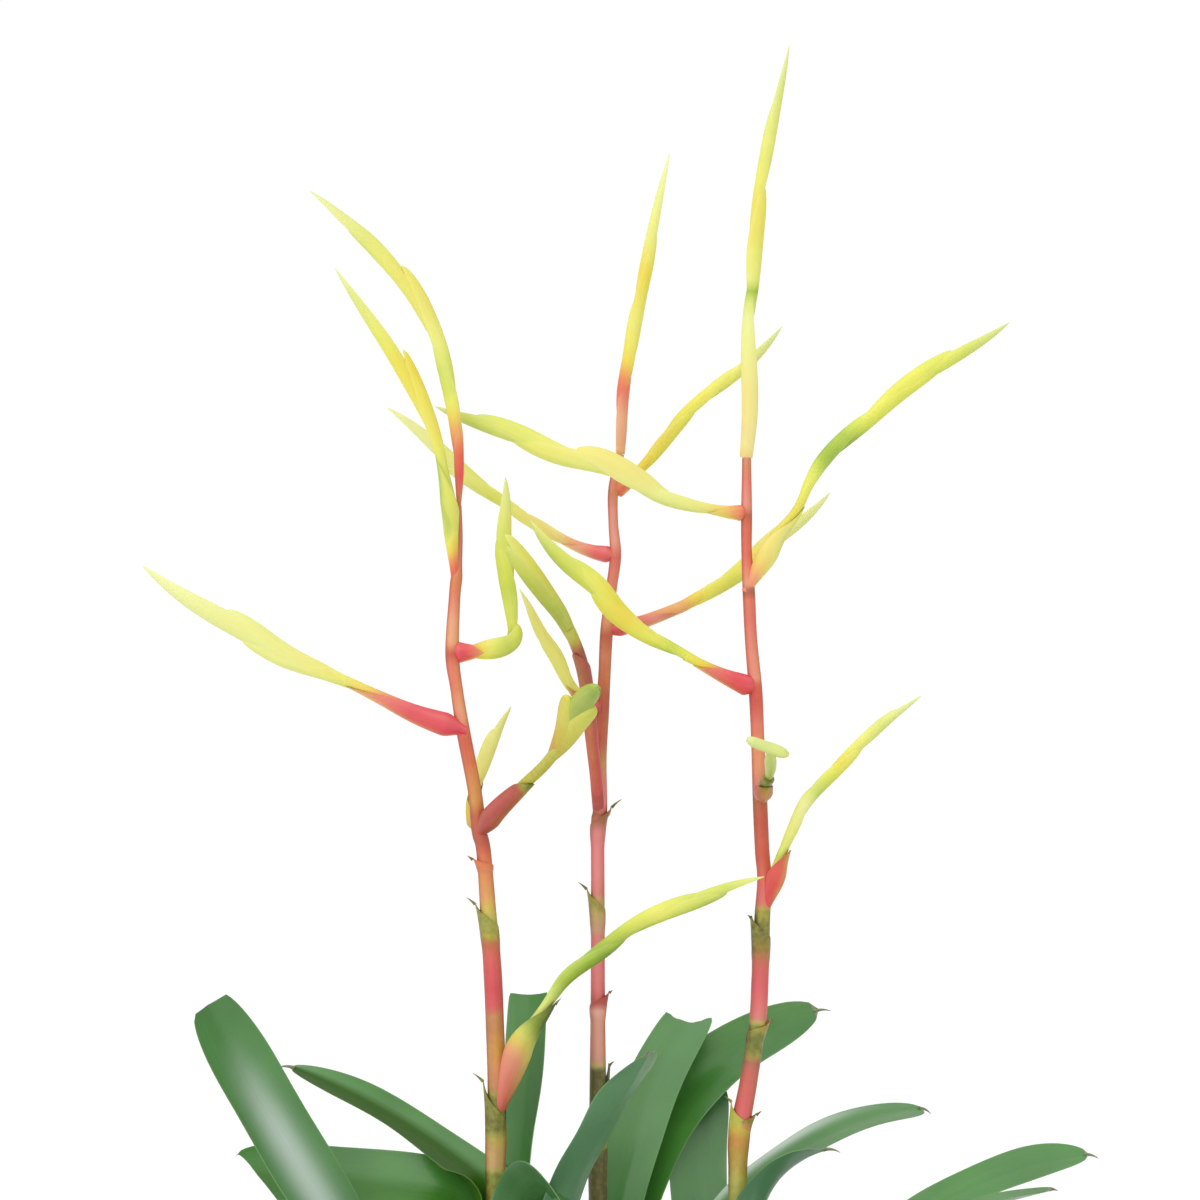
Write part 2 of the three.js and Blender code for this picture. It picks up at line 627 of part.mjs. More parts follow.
/** The rhizome that joins two stocks: a round bar, flat below. */
function rhizome([fromX, fromY], [toX, toY]) {
  const line = new THREE.LineCurve3(
    new THREE.Vector3(fromX, fromY, 0),
    new THREE.Vector3(toX, toY, 0),
  );
  const rings = [];
  for (let j = 0; j <= RHIZOME.steps; j += 1) {
    const frame = frameAt(line, j / RHIZOME.steps);
    const ring = ovalRing(frame, RHIZOME.radius, RHIZOME.radius, RHIZOME.sides);
    ring.forEach((point) => point.setZ(Math.max(0, point.z + RHIZOME.height)));
    rings.push(ring);
  }
  return solidOf(loft(rings));
}

// ---------------------------------------------------------------- the plant

const plant = new THREE.Group();

const stocks = Object.values(ROSETTES).map(stock);
const rhizomes = [
  rhizome(ROSETTES.left, ROSETTES.middle),
  rhizome(ROSETTES.middle, ROSETTES.right),
];
plant.add(piece('rootstock', joined([...stocks, ...rhizomes]), FINISHES.stock));

Object.entries(ROSETTES).forEach(([name, axis]) => {
  const clearance = stalkTube(name, GAP);
  const stalkSolids = [stalkTube(name)];
  STALK_BRACTS[name].forEach((bract) => stalkSolids.push(stalkBract(name, bract)));
  const spikeNames = Object.keys(SPIKES).filter((key) => key.startsWith(name));
  spikeNames.forEach((key) => {
    const { path, sheath, fan } = SPIKES[key];
    if (sheath) {
      stalkSolids.push(spikeSheath(lineThrough(path), sheath, fan));
    }
    plant.add(piece(`spike_${key}`, spike(SPIKES[key], clearance), FINISHES.spike));
  });
  plant.add(piece(`stalk_${name}`, joined(stalkSolids), FINISHES.stalk));
  LEAVES[name].forEach((leaf, order) => {
    plant.add(piece(`leaf_${name}_${order + 1}`, leafBlade(leaf, order, axis), FINISHES.leaf));
  });
});

export default plant;
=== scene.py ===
"""A flaming sword bromeliad with branched flower stalks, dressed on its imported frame.

Three rosettes of glossy strap leaves grow from one rootstock. Each sends up a zigzag coral
stalk, clasped by small bracts, whose side spikes are slender swords of folded bracts.
Lengths in the tables are millimetres in the part's own frame, as in the part's source, and
become metres where a mesh is made. The plant's front is -Y.
"""

import math

import bpy
import numpy as np
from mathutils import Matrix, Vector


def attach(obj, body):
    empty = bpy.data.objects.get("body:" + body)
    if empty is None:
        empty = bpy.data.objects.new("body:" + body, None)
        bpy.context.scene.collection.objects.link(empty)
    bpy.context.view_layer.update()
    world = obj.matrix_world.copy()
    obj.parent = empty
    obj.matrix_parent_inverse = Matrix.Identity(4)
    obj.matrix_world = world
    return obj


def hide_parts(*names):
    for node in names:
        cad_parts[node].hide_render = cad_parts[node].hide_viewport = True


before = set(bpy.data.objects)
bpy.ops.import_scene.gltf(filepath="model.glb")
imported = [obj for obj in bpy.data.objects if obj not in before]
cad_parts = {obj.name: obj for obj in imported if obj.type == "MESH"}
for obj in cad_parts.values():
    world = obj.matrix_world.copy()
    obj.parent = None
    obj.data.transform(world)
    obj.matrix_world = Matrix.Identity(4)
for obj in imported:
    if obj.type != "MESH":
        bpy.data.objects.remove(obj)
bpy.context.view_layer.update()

MM = 0.001
UP = np.array([0.0, 0.0, 1.0])
FORWARD = np.array([0.0, 1.0, 0.0])

# ---------------------------------------------------------------- the plant's own dimensions

ROSETTES = {"left": (-47, -34), "middle": (0, 0), "right": (63, -14)}
STOCK = {"foot": 20, "waist": 20.5, "waist_height": 30, "top": 5.2, "top_height": 66,
         "rows": 120, "sides": 96, "scar": 0.5, "scar_rise": 5.5, "knob": 0.25, "roots": 26}
ROOT = {"top": (10, 28), "low": (1.2, 4), "drift": (-28, 28), "width": (0.5, 0.9),
        "proud": 0.25, "rows": 30, "sides": 8}
RHIZOME = {"radius": 10, "height": 9, "joints": 9, "rows": 60, "sides": 48}
POINT = {"rows": 14, "sides": 10, "taper": 0.875}
STALK_FOOT = 66.3

LEAF_BASE = {"heart_radius": 7.2, "radius_step": 1.3, "clearance": 1.0, "cad_thickness": 0.85}
LEAF = {
    "channel_radius": 42, "foot_width": 0.72, "shoulder": 0.3, "tip_start": 0.8, "tip_power": 2.4,
    "least_half": 0.3, "twist_span": (0.08, 0.6), "thickness": 0.95, "edge_thickness": 0.35,
    "end_thinning": 0.5, "groove": 0.55, "groove_half": 0.45, "groove_span": (0.05, 0.3),
    "wave": 0.5, "wave_span": (0.15, 0.5), "swells": (2.2, 4.2), "cut_start": 0.86,
    # Below, how softly the painted shade on one side of a leaf blends in, and where its painted highlight
    # stripe rises and fades along it.
    "ragged": (0.12, 0.05), "shade_blend": 0.5, "sheen_rise": (0.2, 0.5),
    "sheen_fall": (0.65, 0.95), "rows": 84, "columns": 19, "samples": 500,
}
LEAF_HOOK = {"inset": 2.2, "droop": 0.6, "radius": 1.0, "turn": 0.8, "dry": 0.35}

# Leaves from the heart outwards: heading in degrees, angle from upright at the foot and past
# the bend, length and width, then, where the leaf isn't plain, the change of heading at the tip,
# the span of the bend and the roll.
PLAIN_LEAF = (0, (0, 1), 0)
LEAVES = {
    "left": [
        (45, 7, 14, 159, 26, 19, (0.03, 1.07), -14), (250, 5, 26, 58, 20),
        (311, 25, 55, 183, 29, -6, (0.03, 1.2), 13), (129, -2, 64, 189, 31, 23, (0.37, 0.48), -2),
        (156, 4, 85.5, 175, 33, 17, (0.37, 0.52), -48), (120, 26, 120, 118, 27),
        (286, 5, 141, 177, 24, 8, (0.22, 1.02), -42), (187, 37, 31, 211, 30, 10, (0, 0.67), -76),
        (236, 36, 118, 140, 28),
    ],
    "middle": [
        (65, 8, 44, 163, 29, -7, (0, 0.88), 7), (210, 5, 26, 55, 20),
        (66, 12, 61, 196, 31, -31, (0, 0.95), 26), (270, 10, 34, 58, 22),
        (4, 27, 100, 192, 24, 13, (0, 1.34), 18), (122, 20, 122, 110, 28), (262, 24, 118, 118, 27),
        (86, 28, 118, 125, 28), (288, 32, 118, 130, 28),
    ],
    "right": [
        (250, 4, 26, 56, 20), (116, 38, 25, 131, 29, -15, (0, 0.96), 3), (6, 14, 34, 64, 22),
        (341, -4, 81, 112, 29, 4, (0.37, 1.12), -9), (6, 40, 104, 179, 22, -2, (0, 1.6), 36),
        (345, 35, 75, 161, 27, 0, (0, 0.95), 4), (60, 28, 118, 125, 28), (292, 36, 118, 128, 28),
        (256, 38, 114, 112, 28),
    ],
}
# Leaves that differ from the plain one. blunt: the share of the width that the end keeps. slant
# and notch: how far the end runs askew and is bitten in, as shares of the length. dry: the share
# of the length that has withered. hook: the length of the end's fine hook. bloom: how much of a
# waxy bloom the leaf has. The next, a paler stripe painted on as a highlight: its place across,
# half width and strength. Last, a side of the leaf painted darker as shade: which side, by how
# much, and where across that starts.
LEAF_ENDS = {
    "left_1": {"blunt": 0.84, "notch": 0.004, "slant": -0.01, "hook": 0, "bloom": 0.1, "dry": 0},
    "left_3": {"dry": 0.01, "hook": 3, "bloom": 0.3},
    "left_4": {"painted_shade": (1, 1.0, -0.6)},
    "left_5": {"blunt": 0.5, "slant": 0.05, "hook": 0, "dry": 0, "painted_shade": (1, 0.4, -0.4)},
    "left_7": {"painted_shade": (1, 0.5, -1.2)},
    "left_8": {"blunt": 0.5, "slant": -0.004, "hook": 0, "dry": 0, "bloom": 0.12,
               "streak": (0.08, 0.5, 0.8)},
    "middle_1": {"blunt": 0.7, "notch": 0.02, "slant": 0.012, "hook": 0, "dry": 0, "bloom": 0.2},
    "middle_5": {"bloom": 0.05, "streak": (0.9, 0.3, 0.8)},
    "right_2": {"blunt": 0.6, "slant": 0.02, "hook": 0, "bloom": 0.3, "dry": 0},
    "right_4": {"bloom": 0.3},
    "right_5": {"dry": 0.012, "hook": 7, "bloom": 0.1},
    "right_6": {"dry": 0.02, "hook": 4},
}
PLAIN_END = {"blunt": 0.0, "notch": 0.0, "slant": 0.0, "hook": 8, "dry": 0.012, "bloom": 0.0,
             "streak": (0.0, 1.0, 0.0), "painted_shade": (1, 0.0, 0.0)}

# Points up the middle of each stalk, as x and z, with its radius there. A stalk stands upright
# in the plane of its rosette, so all have the rosette's y.
STALKS = {
    "left": [
        (-47, STALK_FOOT, 4.4), (-47, 128, 4.3), (-46, 173, 4.2), (-47, 208, 4.1), (-48, 231, 4.1),
        (-50, 258, 3.6), (-52, 284, 3.3), (-54, 293, 3.4), (-56, 311, 3.1), (-61, 337, 3.1),
        (-64, 356, 2.8), (-66, 372, 3.1), (-65, 396, 2.6), (-64, 406, 2.6), (-63, 412, 1.5),
        (-62.5, 425, 1.2), (-63, 438, 1.2),
    ],
    "middle": [
        (0, STALK_FOOT, 4.4), (-1, 125, 4.2), (-1, 173, 3.8), (-1, 213, 3.3), (-1, 259, 3.1),
        (-1, 294, 3.1), (0, 301, 3.3), (0, 324, 3), (1, 345, 3.1), (2, 362, 2.8), (3, 382, 2.9),
        (5, 400, 2.5), (7, 416, 2.6), (6, 431, 2.2), (6, 446, 2.3), (9, 462, 1.9),
    ],
    "right": [
        (63, STALK_FOOT, 4.4), (62, 133, 4.3), (63, 157, 4.4), (67, 180, 4), (71, 207, 3.9),
        (72, 225, 3.9), (73, 252, 3.6), (74, 270, 3.3), (73, 283, 3.3), (72, 306, 3.3), (71, 333, 3),
        (70, 355, 3.1), (68, 378, 2.8), (67, 399, 2.8), (66, 418, 2.4), (66, 434, 2.5), (66, 460, 2),
    ],
}
# Across the stalk its light and shade are painted into the colour: shade at the edges and on the left
# side, light on the right side and a highlight down the middle.
STALK = {"rows": 260, "sides": 32, "ribs": 9, "rib_depth": 0.004, "shaded_left": 0.3,
         "lit_right": 0.05, "unlit_edge": 0.85, "shaded_edge_crimson": 0.55, "shaded_edge": 0.1, "tan": 0.1}

# Colour up each stalk: the height, then in percent the ripeness (0 crimson, 30 orange,
# 50 yellow, 100 green), how bronzed it is and how pale. Noughts at a row's end are left out.
STALK_TONES = {
    "left": [
        (66, 70, 70), (140, 66, 70), (143, 34, 30, 25), (156, 38, 35, 10), (160, 66, 85), (173, 62, 85),
        (178, 26, 40, 10), (184, 22, 20, 10), (194, 30, 20), (207, 24, 30, 5), (211, 24, 30, 10),
        (214, 4, 5, 10), (222, 0, 6, 5), (236, 2, 5, 8), (243, 16, 30), (247, 55, 60), (254, 50, 40, 10),
        (262, 32, 10, 10), (270, 24, 5, 5), (282, 16, 10), (288, 8, 35), (300, 10, 30), (306, 28, 20),
        (314, 24, 15), (322, 16, 10), (334, 12, 10), (340, 16, 5, 20), (347, 22, 0, 25), (356, 16, 0, 10),
        (366, 14, 0, 12), (372, 10, 25), (377, 26, 0, 25), (386, 22, 0, 30), (396, 16, 0, 15),
        (404, 20, 10), (408, 20, 15, 10), (414, 14, 30, 20), (438, 12, 30, 20),
    ],
    "middle": [
        (66, 85, 100), (146, 80, 100), (150, 50, 60), (158, 60, 50), (164, 85, 90), (183, 80, 95),
        (187, 20, 25, 40), (196, 14, 10, 50), (206, 20, 10, 45), (210, 14, 0, 75), (214, 0, 30, 10),
        (220, 0, 0, 30), (230, 0, 0, 32), (242, 2, 10, 30), (247, 30, 40, 30), (258, 40, 60, 20),
        (264, 5, 10, 30), (272, 0, 0, 40), (284, 0, 0, 38), (292, 2, 20, 35), (299, 8, 50),
        (304, 2, 5, 50), (312, 10, 0, 35), (322, 30, 30, 10), (332, 12, 30), (342, 10, 35), (350, 8, 40),
        (362, 18, 20), (370, 20, 20, 10), (380, 8, 30), (386, 22, 10, 20), (398, 20, 0, 20),
        (408, 14, 0, 20), (415, 6, 10, 10), (422, 16, 0, 40), (436, 12, 0, 40), (444, 20, 20, 10),
        (452, 14, 5, 25), (462, 10, 0, 35),
    ],
    "right": [
        (66, 80, 60), (134, 60, 40, 10), (140, 42, 40, 10), (150, 32, 25), (156, 24, 10),
        (160, 20, 0, 20), (164, 4, 0, 15), (176, 6, 8, 10), (183, 8, 20, 10), (188, 10, 50, 10),
        (193, 72, 75), (204, 80, 75), (208, 5, 15, 30), (211, 4, 0, 25), (222, 0, 0, 15),
        (232, 6, 15, 10), (238, 30, 60), (250, 55, 80), (256, 50, 60), (260, 5, 10, 20), (270, 8, 0, 10),
        (280, 8, 10), (296, 8, 25), (306, 16, 35), (312, 12, 15, 30), (320, 22, 0, 20), (330, 20, 0, 10),
        (340, 12, 0, 15), (350, 6, 12), (357, 6, 10), (361, 16, 0, 28), (372, 14, 0, 25),
        (386, 10, 0, 15), (396, 12, 5, 10), (400, 8, 60), (403, 20, 0, 30), (414, 12, 0, 10),
        (428, 10, 5, 5), (434, 14, 35), (438, 14, 0, 35), (448, 10, 0, 25), (456, 20, 15, 10),
        (460, 20, 20, 20),
    ],
}

# Small bracts that clasp the stalks: height of the foot and the tip, heading of the tip,
# ripeness, bronze and the length of the hair at the tip.
STALK_BRACTS = {
    "left": [
        (136, 182, 180, 0.66, 0.85, 6), (238, 261, 180, 0.6, 0.8, 5), (274, 281, 190, 0.16, 0.1, 3),
    ],
    "middle": [
        (128, 186, 20, 0.8, 0.95, 3), (205, 219, 0, 0.02, 0.5, 2),
        (244, 266, 180, 0.45, 0.8, 5), (284, 303, 0, 0.2, 0.75, 6),
    ],
    "right": [
        (142, 171, 180, 0.6, 0.5, 4), (154, 165, 0, 0.4, 0.8, 3),
        (196, 207, 20, 0.3, 0.6, 2), (230, 254, 200, 0.6, 0.95, 2),
    ],
}
STALK_BRACT = {"foot_wall": 0.04, "wall": 0.35, "wall_span": (0, 0.3), "swell": 0.35,
               "swell_span": (0.1, 0.7), "wrap": 176, "tip_wrap": 13, "open": 0.45, "lift": 1.5,
               "own_tone": (0.3, 0.8), "rows": 30, "columns": 27}
STALK_HAIR = {"sink": 0.3, "rise": 0.75, "out": 0.65, "radius": 0.75, "turn": 0.35, "ripe": 0.5}

# Side spikes. path: points along the line. sheath: the clasping bract's end, depth and length of
# point, then, where they aren't plain, where it is fullest, its reach at the tip and the power by
# which its wrap closes. bracts: the flower bracts' start and end in percent, keel side, depth,
# how far the tip stands off, change of ripeness in percent, and taper. tones: place, ripeness,
# bronze and paleness in percent. sheath_tones: the same for the clasping bract. fan: the way in
# which the bracts spread, with their wrap at the tip. stem and foot: half the depth of the stem
# and of an end spike's foot. cross: points with a radius of a bract that lies across the top.
# The paleness in each sheath_tones row is partly the clasping bract's own pale colour and partly a
# painted highlight.
SPIKES = {
    "left_1": {
        "path": [(-47, -34, 162), (-41, -38, 180.7), (-34.8, -41, 199.1), (-24.6, -43, 215.1),
            (-14.4, -45, 229.6), (2.2, -47, 241.9), (19.8, -48, 253.3), (40.8, -47, 262.3),
            (73.1, -42, 272.8)],
        "sheath": (0.36, 6.2, 4, 0.55, 3.2, 5),
        "bracts": [(30, 62, -1, 3.4, 1), (44, 83, 1, 3.3, 1.6), (58, 90, -1, 3.2, 1), (72, 100, 1, 2.4)],
        "tones": [(25, 72, 0, 40), (36, 72, 0, 30), (42, 80), (54, 84, 6), (64, 66, 5), (72, 56, 0, 10),
            (80, 66, 0, 10), (90, 70, 0, 15), (100, 60, 0, 50)],
        "sheath_tones": [(0, 4, 10), (25, 10, 10, 10), (50, 18, 10, 20), (65, 45, 25, 10), (80, 85, 40),
            (100, 90, 80)],
    },
    "left_2": {
        "path": [(-55.2, -34, 290.2), (-46.1, -40, 302), (-34.4, -47, 313.4), (-23.8, -60, 323.8),
            (-15.8, -78, 335.3), (-9, -102, 349), (-1, -128, 359)],
        "sheath": (0.3, 4.9, 0, 0.3, 3, 6),
        "bracts": [(42, 80, 1, 4.9, 6.5, -24, 0.4), (40, 86, -1, 4.7, 5, -20, 0.4),
            (50, 100, 1, 4.6, 0, 2, 0.4)],
        "fan": (-0.75, 0, 0.65), "tip_wrap": 168,
        "tones": [(20, 52, 50), (40, 54, 45), (55, 60, 30), (70, 70, 20), (100, 76, 20, 5)],
        "sheath_tones": [(0, 0, 58), (50, 0, 55), (80, 2, 55), (92, 50, 80), (100, 70, 80)],
        "stem": 2.5,
    },
    # Its paleness is partly painted light, lifting the colour where this spike lies in shade.
    "left_3": {
        "path": [(-55, -33, 293), (-56.6, -25, 306.1), (-52, -17, 323), (-46.4, -12, 338.2),
            (-40.2, -9, 348.1)],
        "sheath": (0.42, 4.4, 0),
        "bracts": [(15, 80, 1, 2.8, 1), (30, 100, -1, 2.6)],
        "tones": [(10, 50, 20), (30, 50, 0, 10), (45, 54, 0, 30), (100, 60, 0, 50)],
        "sheath_tones": [(0, 30, 20), (100, 60, 30)],
    },
    "left_4": {
        "path": [(-59.5, -36, 337.6), (-80.5, -37, 344.8), (-100, -39, 354.1), (-119.6, -40, 363),
            (-139.9, -41, 371.2), (-159.3, -42, 383.3), (-179.9, -42, 395.7), (-203.7, -40, 411.4)],
        "sheath": (0.36, 5.4, 0),
        "bracts": [(26, 66, 1, 3.4, 4, 0, 0.45), (36, 74, -1, 4.2, 3, 0, 0.45), (50, 100, 1, 4.4)],
        "tones": [(20, 30, 0, 10), (30, 44, 0, 20), (36, 56, 0, 20), (42, 50, 0, 30), (50, 50, 0, 45),
            (60, 56, 0, 45), (80, 54, 0, 60), (100, 62, 0, 90)],
        "sheath_tones": [(0, 0, 5), (45, 0, 5, 5), (70, 14, 0, 20), (90, 22, 10, 15), (100, 20, 70)],
    },
    "left_5": {
        "path": [(-66, -34, 372.5), (-53.1, -33, 373.9), (-43.9, -31, 376.7), (-39.4, -29, 381.5),
            (-39.4, -28.5, 393.1), (-41.3, -27, 409), (-43.6, -26, 423.1), (-43.4, -26, 435.9),
            (-42.4, -27, 451)],
        "sheath": (0.16, 4.9, 0),
        "bracts": [(6, 34, -1, 4.7, 1.6, 0, 0.6), (27, 74, 1, 3.7, 1), (50, 100, -1, 3.4)],
        "tones": [(10, 30), (16, 50, 5, 10), (24, 66, 8, 5), (34, 62, 5), (40, 70, 0, 10), (50, 72),
            (62, 66), (80, 62, 0, 20), (100, 66, 0, 60)],
        "sheath_tones": [(0, 0, 5, 5), (35, 0), (70, 16, 0, 10), (100, 40, 0, 10)],
    },
    "left_6": {
        "path": [(-64.5, -34, 405.9), (-66.2, -36, 422.9), (-67.2, -37, 441), (-71.3, -38, 460.2),
            (-78.5, -38, 480.2), (-90.4, -38, 503.8), (-104.4, -39, 525.6), (-118, -40, 544)],
        "sheath": (0.38, 5, 0, 0.6, 1.6),
        "bracts": [(28, 69, -1, 3.1, 4), (42, 100, 1, 3.2)],
        "tones": [(28, 70, 5, 15), (36, 62, 0, 10), (44, 48, 0, 10), (66, 46), (76, 56, 0, 10),
            (90, 62, 0, 40), (100, 64, 0, 90)],
        "sheath_tones": [(0, 10), (12, 20), (24, 40, 0, 5), (36, 56, 0, 10), (70, 62, 0, 10),
            (100, 64, 0, 10)],
    },
    "left_7": {
        "path": [(-63, -34, 438), (-63.5, -34, 458), (-64.9, -34, 480.2), (-69.1, -34, 500.3),
            (-76.1, -34, 518.4), (-86.6, -35, 537.2), (-100.7, -36, 553.3), (-115.7, -37, 566),
            (-129.4, -38, 578.4)],
        "bracts": [(0, 27, -1, 2.3, 0.3), (12, 47, 1, 3.2, 0.4), (27, 68, -1, 3.4, 3.2),
            (42, 86, 1, 3, 0.8), (58, 100, -1, 3)],
        "tones": [(0, 10, 40), (3, 10, 10, 10), (8, 5), (14, 10), (20, 26, 0, 10), (26, 46, 0, 10),
            (32, 66, 0, 10), (38, 70, 0, 15), (46, 54, 0, 30), (56, 50, 0, 20), (66, 50, 0, 15),
            (80, 58, 0, 25), (100, 64, 0, 90)],
        "foot": 0.4,
    },
    "middle_1": {
        "path": [(-0.5, -1, 299), (-2, -6, 317.1), (-3.9, -14, 335.1), (-5.9, -23, 356),
            (-9.1, -30, 371.3), (-16.1, -36, 387.4), (-23.7, -42, 398.6), (-30.7, -47, 408.5),
            (-42.2, -52, 424.9)],
        "sheath": (0.555, 2.4, 0, 0.18, 4.2, 9),
        "bracts": [(51, 97, 1, 3.9, 1.6, 5, 0.35), (55, 100, -1, 3.6, 0, -3, 0.4)],
        "stem": 2.7,
        "tones": [(40, 2, 55), (55, 5, 70), (60, 60, 50), (72, 62, 32), (86, 58, 20), (100, 60, 5, 20)],
        "sheath_tones": [(0, 0, 30), (40, 0, 35), (70, 0, 55), (100, 0, 65)],
    },
    "middle_2": {
        "path": [(1, 0, 345), (-6.3, -2, 349.9), (-13, -4, 357.6), (-19.6, -5, 370.5), (-28.1, -5, 382.3),
            (-36.5, -4, 401)],
        "sheath": (0.3, 4.2, 0),
        "bracts": [(10, 66, 1, 2.9, 0.6), (26, 100, -1, 2.8)],
        "tones": [(10, 80), (22, 66, 0, 20), (36, 54, 0, 20), (80, 52, 0, 35), (100, 55, 0, 80)],
        "sheath_tones": [(0, 0, 40), (60, 2, 40), (100, 40, 40)],
    },
    "middle_3": {
        "path": [(3, 0, 382), (18, 3, 386), (33.8, 6, 391.6), (42.5, 8, 396), (64.1, 12, 409.8),
            (77.5, 13, 421.6), (92.3, 14, 433.7), (104.9, 14, 445.1)],
        "sheath": (0.3, 3.9, 0),
        "bracts": [(26, 66, -1, 3.5, 1.2), (42, 86, 1, 3.6, 1.2), (60, 100, -1, 2.8)],
        "tones": [(18, 20, 0, 20), (30, 32, 5, 15), (38, 50), (50, 58), (60, 52, 0, 10), (72, 52, 0, 35),
            (86, 60, 0, 50), (100, 64, 0, 90)],
        "sheath_tones": [(0, 0, 15), (30, 0, 10, 5), (60, 16, 5, 30), (100, 20, 50)],
        "stem": 2.7,
    },
    "middle_4": {
        "path": [(7, 0, 416), (-4.4, 3, 418.6), (-16.7, 5, 423.7), (-32.7, 8, 433.8), (-48.4, 9, 444.3),
            (-61.8, 9, 454), (-78.1, 8, 467.8), (-96.7, 6, 483.3)],
        "sheath": (0.2, 3.9, 0),
        "bracts": [(14, 46, 1, 3, 1, -4), (34, 74, 1, 3.1, 2.6), (50, 100, -1, 3.3)],
        "tones": [(10, 15, 0, 20), (20, 34, 0, 40), (32, 50, 0, 35), (50, 60, 0, 10), (70, 56, 0, 45),
            (100, 58, 0, 90)],
        "sheath_tones": [(0, 0, 0, 10), (35, 2, 0, 10), (65, 20, 0, 35), (100, 36, 0, 40)],
    },
    "middle_5": {
        "path": [(6, 0, 445), (14, 4, 451), (22.5, 6, 460.5), (35.7, 8, 477.3), (52.5, 9, 491.4),
            (66.4, 9, 503.6), (82.7, 8, 520.3)],
        "sheath": (0.14, 4.2, 0),
        "bracts": [(10, 50, -1, 3.2, 0.8), (30, 76, 1, 2.9, 0.8), (54, 100, -1, 2.6)],
        "tones": [(6, 40), (20, 46, 5), (38, 50, 8), (50, 52), (70, 58, 0, 15), (85, 62, 0, 40),
            (100, 64, 0, 80)],
        "sheath_tones": [(0, 14, 5), (40, 20, 10), (100, 36, 0, 20)],
    },
    "middle_6": {
        "path": [(9, 0, 462), (10, 0, 487), (14.2, 0, 508), (17.8, 0, 534.2), (24.3, 0, 563.1),
            (28.7, 0, 582.9), (31.8, 0, 598.8)],
        "bracts": [(0, 30, -1, 2.5, 0.2), (8, 52, 1, 3, 0.5), (26, 74, -1, 2.9, 0.6), (46, 100, 1, 2.4)],
        "tones": [(0, 30, 40), (1.5, 8, 5, 40), (12, 8, 0, 40), (20, 10, 0, 10), (25, 26), (30, 42, 0, 5),
            (36, 50, 0, 10), (44, 52, 0, 20), (52, 48, 0, 10), (60, 46), (70, 54, 0, 30), (85, 60, 0, 50),
            (100, 64, 0, 90)],
        "foot": 1.3,
    },
    "right_1": {
        "path": [(74, -14, 256), (78.1, -17, 268.3), (81.5, -19, 281.5), (88, -21, 295),
            (94.4, -22, 307.7), (104, -22, 319), (118.3, -22, 332.7), (131.5, -21, 344.7),
            (144.3, -20, 353.2)],
        "sheath": (0.25, 4.6, 0, 0.6, 3),
        "bracts": [(20, 50, 1, 2.8, 0.7), (36, 72, -1, 3.1, 0.8), (50, 90, 1, 2.2, 0.5),
            (62, 100, -1, 2.1)],
        "tones": [(18, 84), (24, 66, 0, 20), (34, 56, 0, 35), (42, 56, 0, 60), (48, 74, 0, 20), (56, 60),
            (62, 50), (72, 58, 0, 20), (82, 64, 0, 30), (100, 64, 0, 80)],
        "sheath_tones": [(0, 2, 5), (60, 4, 5), (90, 12, 25), (100, 20, 70)],
    },
    "right_2": {
        "path": [(72, -14, 305), (74.2, -24, 313.1), (76, -36, 318.5), (76, -48, 324), (75.6, -55, 329)],
        "sheath": (0.34, 4.8, 0, 0.5, 2.7),
        "bracts": [(30, 100, 1, 2.6, 0, 0, 0.35)],
        "fan": (-0.93, 0, 0.38), "tip_wrap": 168,
        "tones": [(30, 70, 90), (42, 70, 85), (50, 70, 25, 10), (70, 68, 12, 25), (100, 70, 0, 40)],
        "sheath_tones": [(0, 2, 40, 10), (50, 4, 45, 10), (85, 20, 60), (100, 30, 95)],
        "cross": [(83.5, -57, 327.4, 0.8), (81.2, -57, 328.2, 2.3), (77, -57, 329.8, 2.7),
            (71.5, -58, 331.8, 2.5), (67, -59, 333.6, 2.2), (64.8, -59, 334.4, 0.9)],
        "stem": 2.8,
    },
    "right_3": {
        "path": [(70.3, -14, 355.7), (58.5, -18, 361), (47.2, -20, 366.5), (34, -22, 373.1),
            (20.3, -24, 381.3), (7.9, -26, 390.9), (-2.4, -28, 402.6), (-17.2, -29, 415.9),
            (-31.2, -30, 431.8)],
        "sheath": (0.24, 4.8, 0),
        "bracts": [(16, 46, -1, 2.3, 0.4), (30, 68, 1, 4.3, 1.6, -3, 0.4), (40, 82, -1, 4.3, 0.6),
            (56, 100, 1, 3.9, 0, 3)],
        "tones": [(14, 30), (24, 50), (34, 68), (42, 56), (52, 48), (62, 50), (72, 58, 0, 5),
            (86, 64, 0, 10), (100, 62, 0, 50)],
        "sheath_tones": [(0, 2, 5), (40, 2), (75, 10, 0, 15), (100, 30, 0, 10)],
    },
    "right_4": {
        "path": [(65.4, -14.5, 399.5), (74, -15, 414.6), (80, -16, 425.6), (88.4, -16, 436.3),
            (94.6, -16, 448.7), (102.3, -16, 459.9), (117.5, -16, 474.4), (136, -16, 490.8),
            (160.7, -16, 506.9), (184.1, -15, 520.9)],
        "sheath": (0.27, 5.2, 0, 0.45),
        "bracts": [(26, 58, 1, 3.5, 0.8), (38, 80, -1, 3.4, 1), (50, 84, 1, 3.4, 1.6),
            (66, 100, -1, 2.9)],
        "tones": [(24, 50, 10), (34, 60, 0, 10), (40, 80), (48, 82), (55, 62), (64, 56), (76, 58),
            (86, 66, 0, 10), (100, 68, 0, 60)],
        "sheath_tones": [(0, 14, 0, 10), (15, 24, 0, 15), (35, 42, 0, 20), (70, 54, 0, 25),
            (92, 50, 0, 10), (100, 24, 40)],
    },
    "right_5": {
        "path": [(66.1, -14, 435), (54.2, -17, 436.4), (40.3, -20, 439.2), (28.1, -22, 443.2),
